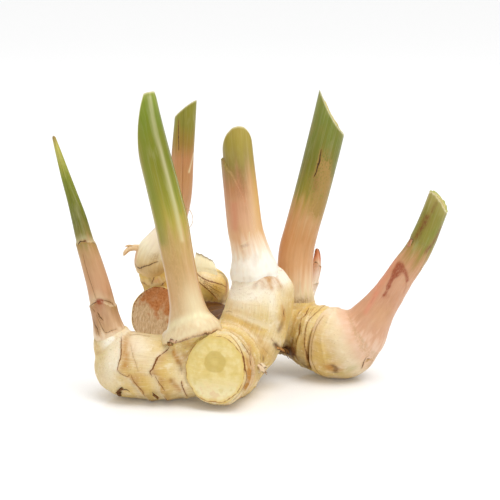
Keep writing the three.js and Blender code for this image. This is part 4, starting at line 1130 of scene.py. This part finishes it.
def small_part(points, grain, shade):
    """A closed ring-by-ring surface as a part, with a lid over each end and its tints given by channel name."""
    rows, cols = points.shape[:2]
    flat = np.concatenate([points.reshape(-1, 3), [points[0].mean(0), points[-1].mean(0)]])
    count = len(flat)
    tints = np.zeros((count, len(CHANNELS)))
    for kind, value in shade.items():
        tints[:rows * cols, CHANNELS[kind]] = np.ravel(value * np.ones((rows, cols)))
        tints[rows * cols:, CHANNELS[kind]] = np.ravel(tints[[0, (rows - 1) * cols], CHANNELS[kind]])
    whole_grain = np.concatenate([grain.reshape(-1, 3), grain[[0, -1], [0, 0]]])
    quads, lids = grid_faces(rows, cols), end_fans(rows, cols)
    return dict(points=flat, quads=quads, triangles=lids, quad_finish=np.zeros(len(quads)),
                lid_finish=np.zeros(len(lids)), line=np.tile(NO_LINE, (count, 1)), tints=tints, grain=whole_grain,
                spot=np.ones((count, 3)))


def skin_part(points, quads, limbs, step, seed, voxel_edges):
    """A grown skin with its relief: each point moves out along its normal by the scales' relief, broad lumps and
    fine wrinkles along the limb, and stays above the surface that the root lies on."""
    relief, facts = limb_facts(points, limbs, step)
    normals = point_normals(points, quads)
    wrinkle = noise(facts["grain"] * [1, 1, 0.16], 1.5, seed + 1) * facts["clear"]
    near_edge = np.exp(-np.abs(facts["line"][:, 0]) / 2.5) * facts["line"][:, 2]
    lumps = 0.32 * noise(points, 7.5, seed) + 0.12 * noise(points, 3.0, seed + 2)
    out = relief + lumps + wrinkle * (0.05 + 0.14 * near_edge)
    moved = points + out[:, None] * normals
    moved[:, 2] = np.maximum(moved[:, 2], 0.0)
    tints = spread(facts["tints"], voxel_edges, 1)
    seam = 1 - facts["clear"]
    tints[:, CHANNELS["dry"]] += 0.35 * ease(seam, 0.6, 1.0)
    # painted shade: the skin in each hollow between limbs is darkened brown, over the brown husk there
    for middle, reach in SHADED_HOLLOWS:
        tints[:, CHANNELS["brown"]] += 1.6 * np.exp(-(np.linalg.norm(moved - middle, axis=1) / reach) ** 2)
    return wall_part(moved, quads, facts["line"], tints, facts["grain"], NO_LINE[0]), facts


def add(tree, kind, inputs=None, stops=None, **settings):
    """Adds a node with its settings. An input that is a socket is linked, and any other is set as a value."""
    node = tree.nodes.new(kind)
    for name, value in settings.items():
        setattr(node, name, value)
    for key, value in (inputs or {}).items():
        if isinstance(value, bpy.types.NodeSocket):
            tree.links.new(value, node.inputs[key])
        else:
            node.inputs[key].default_value = value
    if stops:
        ramp = node.color_ramp
        for place, colour in stops[1:-1]:
            ramp.elements.new(place).color = colour
        ramp.elements[0].position, ramp.elements[0].color = stops[0]
        ramp.elements[len(stops) - 1].position, ramp.elements[len(stops) - 1].color = stops[-1]
    return node


def amount(tree, *factors):
    """How much of something there is: its factors multiplied. A factor is a socket, a number, or (socket, low, high,
    there, then), which brings the socket softly from low..high to there..then, 0..1 where they aren't given."""
    total = None
    for factor in factors:
        if isinstance(factor, tuple):
            socket, low, high, *ends = factor
            first, last = ends or (0.0, 1.0)
            factor = add(tree, "ShaderNodeMapRange", {0: socket, 1: low, 2: high, 3: first, 4: last},
                         interpolation_type="SMOOTHSTEP").outputs[0]
        if total is None:
            total = factor
        else:
            total = add(tree, "ShaderNodeMath", {0: total, 1: factor}, operation="MULTIPLY").outputs[0]
    return total


def layered(tree, colour, layers):
    """Lays tints over a colour in order: each layer is its tint and the factors of how much of it there is."""
    for tint, *factors in layers:
        tint = linear(tint) if isinstance(tint, str) else tint
        share = amount(tree, *factors)
        colour = add(tree, "ShaderNodeMix", {0: share, 6: colour, 7: tint}, data_type="RGBA").outputs[2]
    return colour


def facts_in(tree):
    """The piece's own attributes, split into their numbers: crisp line, tints by channel, and spot."""
    read = {}
    for key in ("line", "tint_a", "tint_b", "tint_c", "spot", "grain"):
        vector = add(tree, "ShaderNodeAttribute", attribute_name=key).outputs["Vector"]
        read[key] = vector if key == "grain" else add(tree, "ShaderNodeSeparateXYZ", {0: vector}).outputs
    names = ("pale", "yellow", "dry", "warm", "brown", "pink", "olive", "scar", "stem")
    read.update(zip(names, [*read["tint_a"], *read["tint_b"], *read["tint_c"]]))
    return read


def new_material(name):
    """An empty node material and its tree."""
    material = bpy.data.materials.new(name)
    material.use_nodes = True
    material.node_tree.nodes.clear()
    return material, material.node_tree


def close_material(tree, colour, height, bump_mm, settings):
    """Ends a material: a principled shader with that colour, and a bump whose full height is bump_mm."""
    bump = add(tree, "ShaderNodeBump", {"Height": height, "Strength": 1.0, "Distance": bump_mm * MM})
    shader = add(tree, "ShaderNodeBsdfPrincipled", {"Base Color": colour, "Normal": bump.outputs[0], **settings})
    add(tree, "ShaderNodeOutputMaterial", {"Surface": shader.outputs[0]})


def fibres(tree, place, sizes_mm, detail=3.0):
    """Noise drawn out by three sizes in millimetres. On the grain attribute they are two ways across a limb and the
    way along it, and that attribute is in millimetres."""
    scaled = add(tree, "ShaderNodeMapping", {"Vector": place, "Scale": tuple(1 / size for size in sizes_mm)})
    return add(tree, "ShaderNodeTexNoise", {"Vector": scaled.outputs[0], "Scale": 1.0, "Detail": detail}).outputs[0]


def in_mm(tree):
    """The object's own coordinates in millimetres."""
    place = add(tree, "ShaderNodeTexCoord").outputs["Object"]
    return add(tree, "ShaderNodeMapping", {"Vector": place, "Scale": (1 / MM, 1 / MM, 1 / MM)}).outputs[0]


def crisp_line(tree, fact, waver):
    """How dark the crisp line is here, and a soft halo round it. The line's half width wavers with the noise."""
    wide = amount(tree, fact["line"][1], (waver, 0.3, 0.7, 0.5, 1.5))
    away = add(tree, "ShaderNodeMath", {0: fact["line"][0]}, operation="ABSOLUTE").outputs[0]
    inside = add(tree, "ShaderNodeMath", {0: wide, 1: away}, operation="SUBTRACT").outputs[0]
    return (amount(tree, (inside, -0.12, 0.1), fact["line"][2]), amount(tree, (inside, -1.0, 0.0), fact["line"][2]))


def skin_layers(tree, fact, base):
    """Fresh galangal skin over a base colour: cloudy yellow, stains, painted highlights (pale tint) and painted shade
    (brown tint in the hollows), long fibres, fine rings, specks and cracks.
    """
    look = bpy.context.scene.galangal_looks
    place = in_mm(tree)
    coarse = fibres(tree, fact["grain"], (3.2, 3.2, 9.0))
    hair = fibres(tree, fact["grain"], (0.36, 0.36, 9.0), 2.0)
    rings = fibres(tree, fact["grain"], (7.0, 7.0, 0.9), 3.0)
    slant = fibres(tree, place, (2.6, 2.6, 0.7), 3.0)
    cloud = fibres(tree, place, (11, 11, 11))
    mottle = fibres(tree, place, (3.4, 3.4, 3.4), 4.0)
    speck = fibres(tree, place, (0.9, 0.9, 0.9), 3.0)
    dark, halo = crisp_line(tree, fact, speck)
    rough = amount(tree, (coarse, 0.3, 0.7, 0.6, 1.2), (mottle, 0.3, 0.7, 0.7, 1.25))
    colour = layered(tree, base, [
        (tuple(look.yellow), (cloud, 0.36, 0.62, 0.0, 0.85)),
        ("#D9C47C", (mottle, 0.46, 0.68, 0.0, 0.35)),
        ("#FBEFD2", (mottle, 0.46, 0.28, 0.0, 0.5)),
        ("#E8C66A", fact["yellow"], rough),
        ("#BD8E4F", fact["dry"], rough, 0.8),
        ("#AF9F4A", fact["olive"], rough, 0.75),
        # pale: fresh skin, and the painted highlights on the front limb, elbow and centre top
        (tuple(look.pale), fact["pale"], (cloud, 0.25, 0.6, 0.8, 1.0)),
        ("#E3A98A", fact["pink"], 0.85),
        ("#BC8230", fact["warm"], rough, 0.85),
        ("#A97F43", (rings, 0.55, 0.7, 0.0, 0.05)),
        ("#FFF6DC", (rings, 0.45, 0.3, 0.0, 0.06)),
        ("#B08A4B", (slant, 0.57, 0.7, 0.0, 0.12)),
        ("#AD8246", (hair, 0.54, 0.72, 0.0, 0.21)),
        ("#FFF8E4", (hair, 0.45, 0.28, 0.0, 0.18)),
        ("#94652F", (speck, 0.61, 0.73, 0.0, 0.3)),
        ("#FFFBEA", (speck, 0.36, 0.24, 0.0, 0.35)),
        # brown: brown husk and stains, and the painted shade in the hollows between limbs
        ("#5E380F", fact["brown"], rough),
        ("#B57F3A", halo, 0.35),
        (tuple(look.edge), dark),
        ("#8A4528", (fact["scar"], 0.2, 0.9), (speck, 0.3, 0.6, 0.5, 1.0)),
    ])
    height = layered(tree, hair, [(coarse, 0.4), (rings, 0.15), (speck, 0.2)])
    return colour, height


def skin_material():
    """Fresh galangal skin: a thin waxy cream cortex, fibrous along the limb, with papery brown scale edges. The wax
    gives a soft sheen, and the flesh under it lets a little light through."""
    look = bpy.context.scene.galangal_looks
    material, tree = new_material("Waxy rhizome skin")
    colour, height = skin_layers(tree, facts_in(tree), tuple(look.skin))
    close_material(tree, colour, height, look.bump, {
        "Roughness": 0.44, "IOR": 1.45, "Specular IOR Level": 0.34, "Subsurface Weight": 0.1,
        "Subsurface Radius": (1.0, 0.5, 0.2), "Subsurface Scale": 1.4 * MM, "Coat Weight": 0.08,
        "Coat Roughness": 0.25})
    return material


def flesh_material():
    """Cut galangal flesh: moist and starchy, greenish yellow above and paler below, with a darker stele, fine bundle
    dots and the saw's faint strokes. The moisture gives a low gloss, and the starch lets light through."""
    material, tree = new_material("Moist cut flesh")
    fact = facts_in(tree)
    place = in_mm(tree)
    wave = fibres(tree, place, (6, 6, 6), 2.0)
    dots = add(tree, "ShaderNodeTexVoronoi", {"Vector": place, "Scale": 1 / 0.8}).outputs["Distance"]
    cloud = fibres(tree, place, (3.0, 3.0, 3.0), 5.0)
    strokes = fibres(tree, place, (5.0, 5.0, 0.5), 3.0)
    low = add(tree, "ShaderNodeSeparateXYZ", {0: place}).outputs[2]
    heart = add(tree, "ShaderNodeMath", {0: fact["spot"][2], 1: amount(tree, (wave, 0.2, 0.8, -0.5, 0.5))},
                operation="ADD").outputs[0]
    share = add(tree, "ShaderNodeMath", {0: fact["spot"][0], 1: amount(tree, (cloud, 0.25, 0.75, -0.025, 0.025))},
                operation="ADD").outputs[0]
    colour = layered(tree, linear("#E6CD80"), [
        ("#F6EAC0", (low, 17.0, 8.0, 0.0, 0.75)),
        ("#F3E0A4", (cloud, 0.42, 0.66, 0.0, 0.6)),
        ("#D8BF6C", (cloud, 0.44, 0.3, 0.0, 0.4)),
        ("#FBEFC6", (strokes, 0.55, 0.7, 0.0, 0.14)),
        ("#D9BE70", (strokes, 0.44, 0.32, 0.0, 0.12)),
        ("#CDB25F", (heart, 5.3, 4.4), 0.72),
        ("#F0DB8C", (heart, 2.6, 0.5), 0.25),
        ("#BFA04C", (dots, 0.2, 0.08), (heart, 8.5, 4.0, 0.2, 0.55)),
        ("#DDA98E", (low, 15.0, 9.0), (cloud, 0.5, 0.66, 0.0, 0.3)),
        ("#E5C66E", (share, 0.86, 0.97, 0.0, 0.6)),
        ("#A8743A", (share, 0.972, 0.992), 0.85),
    ])
    close_material(tree, colour, layered(tree, cloud, [(dots, 0.3), (strokes, 0.5)]), 0.14, {
        "Roughness": 0.4, "IOR": 1.42, "Specular IOR Level": 0.4, "Subsurface Weight": 0.15,
        "Subsurface Radius": (1.0, 0.7, 0.3), "Subsurface Scale": 1.8 * MM})
    return material


def dried_cut_material():
    """An old broken face: dried flesh, brown and matt, with coarse fibres that run down it."""
    material, tree = new_material("Dried fibrous break")
    fact = facts_in(tree)
    place = in_mm(tree)
    streak = fibres(tree, place, (0.55, 0.55, 7.0), 4.0)
    thread = fibres(tree, place, (0.3, 0.3, 3.0), 2.0)
    cloud = fibres(tree, place, (3.4, 3.4, 3.4), 4.0)
    speck = fibres(tree, place, (0.9, 0.9, 0.9), 3.0)
    tilted = add(tree, "ShaderNodeVectorMath", {0: place, 1: (0.45, 0.0, 1.0)},
                 operation="DOT_PRODUCT").outputs["Value"]
    lifted = add(tree, "ShaderNodeMath", {0: tilted, 1: amount(tree, (cloud, 0.2, 0.8, -4.0, 4.0))},
                 operation="ADD").outputs[0]
    edge = add(tree, "ShaderNodeMath", {0: fact["spot"][0], 1: amount(tree, (speck, 0.2, 0.8, -0.06, 0.05))},
               operation="ADD").outputs[0]
    colour = layered(tree, linear("#D8B88E"), [
        ("#B58C60", (streak, 0.42, 0.62, 0.0, 0.6)),
        ("#E6D2B2", (streak, 0.42, 0.3, 0.0, 0.6)),
        ("#A17C50", (thread, 0.56, 0.7, 0.0, 0.4)),
        ("#BE7A46", (lifted, -3.5, 2.5), (cloud, 0.3, 0.6, 0.75, 1.0)),
        ("#9C5729", (lifted, -3.5, 4.0), (speck, 0.5, 0.68, 0.0, 0.55)),
        ("#DEAB78", (lifted, -1.0, 6.0), (speck, 0.42, 0.32, 0.0, 0.4)),
        ("#7A4A26", (edge, 0.95, 0.99), 0.75),
    ])
    close_material(tree, colour, layered(tree, streak, [(thread, 0.4), (speck, 0.3)]), 0.7,
                   {"Roughness": 0.85, "IOR": 1.45, "Specular IOR Level": 0.2})
    return material


def sheath_layers(tree, fact, ramp, veins):
    """A leaf sheath over its colour run: parallel veins where they show, fine fibres, stains, scars and cracks."""
    streak = fibres(tree, fact["grain"], (1.8, 1.8, 60.0))
    vein = fibres(tree, fact["grain"], (bpy.context.scene.galangal_looks.vein,) * 2 + (90.0,), 2.0)
    fine = fibres(tree, fact["grain"], (0.3, 0.3, 20.0), 2.0)
    cloud = fibres(tree, fact["grain"], (4.0, 4.0, 12.0), 4.0)
    speck = fibres(tree, fact["grain"], (0.55, 0.55, 1.1), 4.0)
    dark, halo = crisp_line(tree, fact, speck)
    colour = layered(tree, ramp, [
        ("#8F6B30", (vein, 0.52, 0.74, 0.0, 0.1), veins),
        ("#FFF4CE", (vein, 0.48, 0.3, 0.0, 0.07), veins),
        ("#7F6428", (fine, 0.54, 0.74, 0.0, 0.12), veins),
        ("#FFF6D8", (fine, 0.44, 0.3, 0.0, 0.08), veins),
        ("#A97B3C", (cloud, 0.5, 0.72, 0.0, 0.2)),
        ("#FFF0CC", (cloud, 0.46, 0.28, 0.0, 0.07)),
        ("#E6BE62", fact["yellow"], 0.7),
        ("#AC8A4C", fact["dry"], (cloud, 0.3, 0.6, 0.5, 1.0), (speck, 0.36, 0.58, 0.25, 1.2)),
        ("#6E8420", fact["olive"], 0.7),
        # pale: fresh sheath colour, and the painted highlight streak and fold band on the green stem
        ("#F4EBC0", fact["pale"], (streak, 0.3, 0.6, 0.6, 1.0)),
        ("#DC9072", fact["pink"], 0.7),
        ("#C8772E", fact["warm"], 0.75),
        ("#7E4E22", fact["brown"], (speck, 0.35, 0.65, 0.5, 1.1), 0.85),
        ("#B57F3A", halo, 0.35),
        ("#4C3216", dark),
        ("#923A1C", (fact["scar"], 0.1, 0.9, 0.0, 0.85), (speck, 0.3, 0.6, 0.6, 1.0)),
    ])
    return colour, layered(tree, vein, [(fine, 0.4)])


def colour_run(tree, fact, along, run, length, streaky):
    """The colours along a stem, drawn out in streaks of that many millimetres."""
    streak = fibres(tree, fact["grain"], (1.8, 1.8, 60.0))
    shift = add(tree, "ShaderNodeMath", {0: amount(tree, (streak, 0.25, 0.75, -streaky, streaky)), 1: along},
                operation="ADD").outputs[0]
    stops = [(min(1.0, max(0.0, place / length)), linear(colour)) for place, colour in run]
    return add(tree, "ShaderNodeValToRGB", {0: amount(tree, shift, 1 / length)}, stops=stops).outputs[0]


def sheath_material(name, node, length, streaky, gloss):
    """A living leaf sheath: smooth cuticle over parallel veins, blanched at its foot and green where it saw light.
    The cuticle gives a satin sheen with a long highlight."""
    material, tree = new_material(name)
    fact = facts_in(tree)
    along = add(tree, "ShaderNodeSeparateXYZ", {0: fact["grain"]}).outputs[2]
    ramp = colour_run(tree, fact, along, STEMS[node]["run"], length, streaky)
    colour, height = sheath_layers(tree, fact, ramp, (along, 12.0, 48.0, 0.12, 0.9))
    close_material(tree, colour, height, 0.08, {
        "Roughness": gloss, "IOR": 1.45, "Specular IOR Level": 0.28, "Subsurface Weight": 0.08,
        "Subsurface Radius": (1.0, 0.8, 0.35), "Subsurface Scale": 1.2 * MM, "Coat Weight": 0.06,
        "Coat Roughness": 0.2})
    return material


def blushing_material(length):
    """A bulb's waxy cream skin that turns without a seam to the pink leaf sheath that grows from it."""
    material, tree = new_material("Blushing sheath")
    fact = facts_in(tree)
    ramp = colour_run(tree, fact, fact["spot"][2], STEMS["shoot_right_pink"]["run"], length, 4.0)
    sheath, fine = sheath_layers(tree, fact, ramp, (fact["spot"][2], 14.0, 34.0, 0.1, 0.9))
    skin, rough = skin_layers(tree, fact, linear("#E6CDAA"))
    share = amount(tree, fact["stem"], 1.0)
    colour = layered(tree, skin, [(sheath, share)])
    close_material(tree, colour, layered(tree, rough, [(fine, share)]), 0.1, {
        "Roughness": 0.4, "IOR": 1.45, "Specular IOR Level": 0.34, "Subsurface Weight": 0.1,
        "Subsurface Radius": (1.0, 0.6, 0.3), "Subsurface Scale": 1.6 * MM, "Coat Weight": 0.08,
        "Coat Roughness": 0.22})
    return material


def layered_cut_material():
    """The knife's cut through rolled leaf sheaths: moist pale rings with dark air gaps between them."""
    material, tree = new_material("Cut rolled sheaths")
    fact = facts_in(tree)
    place = in_mm(tree)
    share = fact["spot"][0]
    cloud = fibres(tree, place, (2.4, 2.4, 2.4))
    dots = add(tree, "ShaderNodeTexVoronoi", {"Vector": place, "Scale": 1 / 0.55}).outputs["Distance"]
    waver = amount(tree, (cloud, 0.2, 0.8, -0.15, 0.15))
    folded = add(tree, "ShaderNodeMath", {0: amount(tree, share, 5.0), 1: waver}, operation="ADD").outputs[0]
    fraction = add(tree, "ShaderNodeMath", {0: folded}, operation="FRACT").outputs[0]
    colour = layered(tree, linear("#CDBF7E"), [
        ("#A9AF5A", (share, 0.75, 1.0)),
        ("#DDD09C", (share, 0.45, 0.0, 0.0, 0.5)),
        ("#CDB26A", (cloud, 0.5, 0.75, 0.0, 0.5)),
        ("#B3924A", (dots, 0.25, 0.1, 0.0, 0.4)),
        ("#80702F", (fraction, 0.14, 0.0, 0.0, 0.7)),
    ])
    close_material(tree, colour, layered(tree, cloud, [(dots, 0.5)]), 0.15,
                   {"Roughness": 0.5, "IOR": 1.42, "Specular IOR Level": 0.3, "Subsurface Weight": 0.1,
                    "Subsurface Radius": (1.0, 0.9, 0.4), "Subsurface Scale": 1.2 * MM})
    return material


def dry_scale_material():
    """Dead papery scale leaves and root hairs: thin, matt and brown, with fibres along them and darker tips."""
    material, tree = new_material("Dry papery scale")
    fact = facts_in(tree)
    streak = fibres(tree, fact["grain"], (0.35, 0.35, 5.0))
    cloud = fibres(tree, in_mm(tree), (1.6, 1.6, 1.6))
    colour = layered(tree, linear("#B98A50"), [
        ("#FFF3CC", fact["pale"]),
        ("#D49A83", fact["pink"]),
        ("#D2883C", fact["warm"]),
        ("#5A3413", fact["brown"]),
        ("#6A4420", (streak, 0.52, 0.68, 0.0, 0.7), (fact["pale"], 0.0, 1.0, 1.0, 0.1)),
        ("#F6E2B0", (streak, 0.42, 0.28, 0.0, 0.5)),
        ("#5A3818", (cloud, 0.55, 0.72, 0.0, 0.5), (fact["pale"], 0.0, 1.0, 1.0, 0.1)),
    ])
    close_material(tree, colour, streak, 0.2,
                   {"Roughness": 0.75, "IOR": 1.45, "Specular IOR Level": 0.2, "Subsurface Weight": 0.25,
                    "Subsurface Radius": (1.0, 0.8, 0.5), "Subsurface Scale": 1.0 * MM})
    return material


def aim_point():
    """The point that the camera and the lamps aim at, in metres."""
    return Vector((np.array(AIM) - ORIGIN) * MM)


def shared(name, maker, *settings):
    """The material of that name, made on first use."""
    return bpy.data.materials.get(name) or maker(*settings)


class GalangalSizes(bpy.types.PropertyGroup):
    """Sizes that a user may change."""

    voxel: FloatProperty(name="Skin mesh", description="Edge length of the grown skin's mesh, in millimetres",
                         default=0.69, min=0.4, max=3.0)
    fillet: IntProperty(name="Fillet", description="Rounds of smoothing that fill the creases between limbs",
                        default=11, min=0, max=60)
    ring_step: FloatProperty(name="Scale step", description="Height of a scale's free edge, in millimetres",
                             default=0.75, min=0.0, max=2.0)


class GalangalLooks(bpy.types.PropertyGroup):
    """Colours and finishes that a user may change."""

    skin: FloatVectorProperty(name="Skin", description="Cream of the rhizome's skin", subtype="COLOR", size=4,
                              default=linear("#E2C98C"), min=0, max=1)
    yellow: FloatVectorProperty(name="Yellow skin", description="Yellower parts of the skin", subtype="COLOR", size=4,
                                default=linear("#DDBC66"), min=0, max=1)
    # This fresh-skin colour is also the colour of the painted highlights: pale patches and marks on the front limb,
    # elbow, centre top and green stem.
    pale: FloatVectorProperty(name="Fresh skin", description="Fresh skin that a scale has covered", subtype="COLOR",
                              size=4, default=linear("#FAF1DC"), min=0, max=1)
    edge: FloatVectorProperty(name="Scale edge", description="Dried edge of a scale", subtype="COLOR", size=4,
                              default=linear("#7A4812"), min=0, max=1)
    bump: FloatProperty(name="Grain height", description="Height of the skin's fibres, in millimetres", default=0.19,
                        min=0, max=1)
    vein: FloatProperty(name="Vein spacing", description="Width of a sheath's veins, in millimetres", default=0.7,
                        min=0.2, max=3)


class GALANGAL_OT_rhizome(bpy.types.Operator):
    """Make the rhizome: one grown skin over every limb, its two sawn ends and their flesh"""

    bl_idname = "galangal.rhizome"
    bl_label = "Rhizome"

    def execute(self, context):
        sizes = context.scene.galangal_sizes
        limbs = {name: Path(dict(spec, name=name)) for name, spec in LIMBS.items()}
        short = {"stub": 1.2, "stump": 1.2}  # millimetres that the grown skin stops before a sawn end
        solids = [tube(path, end=path.length - short.get(name, 0)) for name, path in limbs.items()]
        for name in STEMS:
            if name != "shoot_right_pink":
                reach, inset = STEMS[name].get("core", (7.0, CORE_INSET))
                solids.append(tube(Path(STEMS[name]), 24, 32, inset, 0.0, reach))
        solids.append(tube(Path(BULB), 24, 40, 1.0, 0.0, 7.0))
        points, quads, edges = grown_skin(solids, sizes.voxel, sizes.fillet)
        body = skin_part(points, quads, limbs, sizes.ring_step, SKIN_SEED, edges)[0]
        for name in short:
            body["points"] = behind_cut(body["points"], limbs[name], 0.9)
        stub = limb_end("stub", back=8.0, rows=20, cols=220, rings=40, bulge=0.5)
        stump = limb_end("stump", back=6.0, rows=14, cols=160, rings=36, bulge=0.8)
        stump["quad_finish"] = stump["quad_finish"] * 2
        stump["lid_finish"] = stump["lid_finish"] * 2
        finishes = [shared("Waxy rhizome skin", skin_material),
                    shared("Moist cut flesh", flesh_material),
                    shared("Dried fibrous break", dried_cut_material)]
        make_piece("rhizome_skin", [body, stub, stump], finishes, "rhizome")
        return {"FINISHED"}


class GALANGAL_OT_bulb_shoot(bpy.types.Operator):
    """Make the right stem: a pale bulb and the pink sheath that rises from it, to the ragged cut"""

    bl_idname = "galangal.bulb_shoot"
    bl_label = "Bulb shoot"

    def execute(self, context):
        sizes = context.scene.galangal_sizes
        name = "shoot_right_pink"
        spec = dict(STEMS[name], name=name)
        limbs = {"bulb": Path(dict(BULB, name="bulb")), name: Path(spec)}
        solids = [tube(limbs["bulb"], 50, 64, 0.0, -1.5), tube(limbs[name], 90, 48, 0.0, 0.0, 62.0)]
        points, quads, edges = grown_skin(solids, BULB_VOXEL, sizes.fillet + BULB_ROUNDS)
        body, facts = skin_part(points, quads, limbs, sizes.ring_step, BULB_SEED, edges)
        path, top = stem_parts(name, rows=110, cols=128, start=56.0, sink=0.45)
        finishes = [shared("Blushing sheath", blushing_material, path.length),
                    shared("Cut rolled sheaths", layered_cut_material)]
        rise = (body["points"] - limbs[name].line[0, :3]) @ limbs[name].tangent[20]
        body["tints"][:, CHANNELS["stem"]] = ease(rise, -9, 11)
        body["tints"][:, CHANNELS["pale"]] += 0.35 * np.exp(-((rise - 2.0) / 5.0) ** 2)
        body["tints"][:, CHANNELS["pink"]] += 0.35 * np.exp(-((rise - 6.0) / 3.5) ** 2)
        body["spot"][:, 2] = facts["places"][1, 0]
        top["tints"][:, CHANNELS["stem"]] = 1.0
        make_piece("pink_shoot", [body, top], finishes, name)
        return {"FINISHED"}


class GALANGAL_OT_stems(bpy.types.Operator):
    """Make the stems that stand alone: rolled sheaths from their base to the knife's cut, the spear and the bud"""

    bl_idname = "galangal.stems"
    bl_label = "Stems"

    def execute(self, context):
        for node, (finish, slot, streaky, gloss) in SHEATHS.items():
            rows, cols = (90, 64) if node == "side_bud" else (220, 144)
            path, surface = stem_parts(node, rows, cols)
            finishes = [shared(finish, sheath_material, finish, node, path.length, streaky, gloss),
                        shared("Cut rolled sheaths", layered_cut_material)]
            make_piece(node + "_sheath", [surface], finishes, node)
        return {"FINISHED"}


class GALANGAL_OT_scales(bpy.types.Operator):
    """Make the dry papery scales, root hairs and the withered root that cling to the rhizome"""

    bl_idname = "galangal.scales"
    bl_label = "Dry scales and hairs"

    def execute(self, context):
        parts = [leaf(*scale, SCALE_SEED + number) for number, scale in enumerate(SCALES)]
        parts += [strand(keys, tints) for keys, tints in STRANDS]
        make_piece("dry_scales", parts, [shared("Dry papery scale", dry_scale_material)], None)
        return {"FINISHED"}


class GALANGAL_OT_stage(bpy.types.Operator):
    """Make the pale floor, the soft studio light and the camera"""

    bl_idname = "galangal.stage"
    bl_label = "Stage"

    def execute(self, context):
        scene = context.scene
        floor_mesh = bpy.data.meshes.new("floor")
        reach = 6.0
        floor_mesh.from_pydata([(-reach, -reach, 0), (reach, -reach, 0), (reach, reach, 0), (-reach, reach, 0)], [],
                               [(0, 1, 2, 3)])
        floor = bpy.data.objects.new("floor", floor_mesh)
        scene.collection.objects.link(floor)
        paper, tree = new_material("White paper")
        tooth = fibres(tree, in_mm(tree), (0.6, 0.6, 0.6))
        grey = layered(tree, linear("#FCFCFC"), [("#F8F8F8", (tooth, 0.4, 0.6))])
        shader = add(tree, "ShaderNodeBsdfPrincipled", {
            "Base Color": grey, "Roughness": 0.12, "Specular IOR Level": 0.3, "Emission Color": (1.0, 1.0, 1.0, 1.0),
            "Emission Strength": 0.05})
        add(tree, "ShaderNodeOutputMaterial", {"Surface": shader.outputs[0]})
        floor_mesh.materials.append(paper)
        world = bpy.data.worlds.new("Soft studio")
        world.use_nodes = True
        world.node_tree.nodes["Background"].inputs["Color"].default_value = (1, 1, 1, 1)
        world.node_tree.nodes["Background"].inputs["Strength"].default_value = 0.76
        scene.world = world
        lamps = [("key", (0.4, -0.36, 0.86), 0.45, 1.25), ("back", (-0.1, 0.6, 0.8), 0.6, 1.1)]
        for name, place, size, power in lamps:
            lamp = bpy.data.lights.new(name, "AREA")
            lamp.energy = power
            lamp.size = size
            holder = bpy.data.objects.new(name, lamp)
            holder.location = place
            holder.rotation_euler = (-holder.location + aim_point()).to_track_quat("-Z", "Y").to_euler()
            scene.collection.objects.link(holder)
        sun = bpy.data.lights.new("sky", "SUN")
        sun.energy = 1.3
        sun.angle = math.radians(40)
        sky = bpy.data.objects.new("sky", sun)
        sky.rotation_euler = (math.radians(7), math.radians(12), 0)
        scene.collection.objects.link(sky)
        camera = bpy.data.cameras.new("camera")
        camera.sensor_width = SENSOR
        camera.lens = SENSOR * VIEW_FOCAL / VIEW_PIXELS
        camera.clip_end = 20
        holder = bpy.data.objects.new("camera", camera)
        tilt = math.radians(VIEW_TILT)
        aim = aim_point()
        holder.location = (aim.x, aim.y - VIEW_DISTANCE * math.cos(tilt), aim.z + VIEW_DISTANCE * math.sin(tilt))
        holder.rotation_euler = (math.pi / 2 - tilt, 0, 0)
        scene.collection.objects.link(holder)
        scene.camera = holder
        scene.view_settings.view_transform = "Standard"
        return {"FINISHED"}


class GALANGAL_PT_panel(bpy.types.Panel):
    """Sizes, colours and makers of the galangal root"""

    bl_label = "Galangal root"
    bl_idname = "GALANGAL_PT_panel"
    bl_space_type = "VIEW_3D"
    bl_region_type = "UI"
    bl_category = "Galangal"

    def draw(self, context):
        for group in (context.scene.galangal_sizes, context.scene.galangal_looks):
            for name in group.__annotations__:
                self.layout.prop(group, name)
        for maker in MAKERS:
            self.layout.operator(maker.bl_idname)


MAKERS = (GALANGAL_OT_stage, GALANGAL_OT_rhizome, GALANGAL_OT_bulb_shoot, GALANGAL_OT_stems, GALANGAL_OT_scales)
CLASSES = (GalangalSizes, GalangalLooks, *MAKERS, GALANGAL_PT_panel)


def register():
    for item in CLASSES:
        bpy.utils.register_class(item)
    bpy.types.Scene.galangal_sizes = PointerProperty(type=GalangalSizes)
    bpy.types.Scene.galangal_looks = PointerProperty(type=GalangalLooks)


def unregister():
    del bpy.types.Scene.galangal_looks
    del bpy.types.Scene.galangal_sizes
    for item in reversed(CLASSES):
        bpy.utils.unregister_class(item)


def main():
    register()
    bpy.ops.galangal.stage()
    bpy.ops.galangal.rhizome()
    bpy.ops.galangal.bulb_shoot()
    bpy.ops.galangal.stems()
    bpy.ops.galangal.scales()


if __name__ == "__main__":
    main()
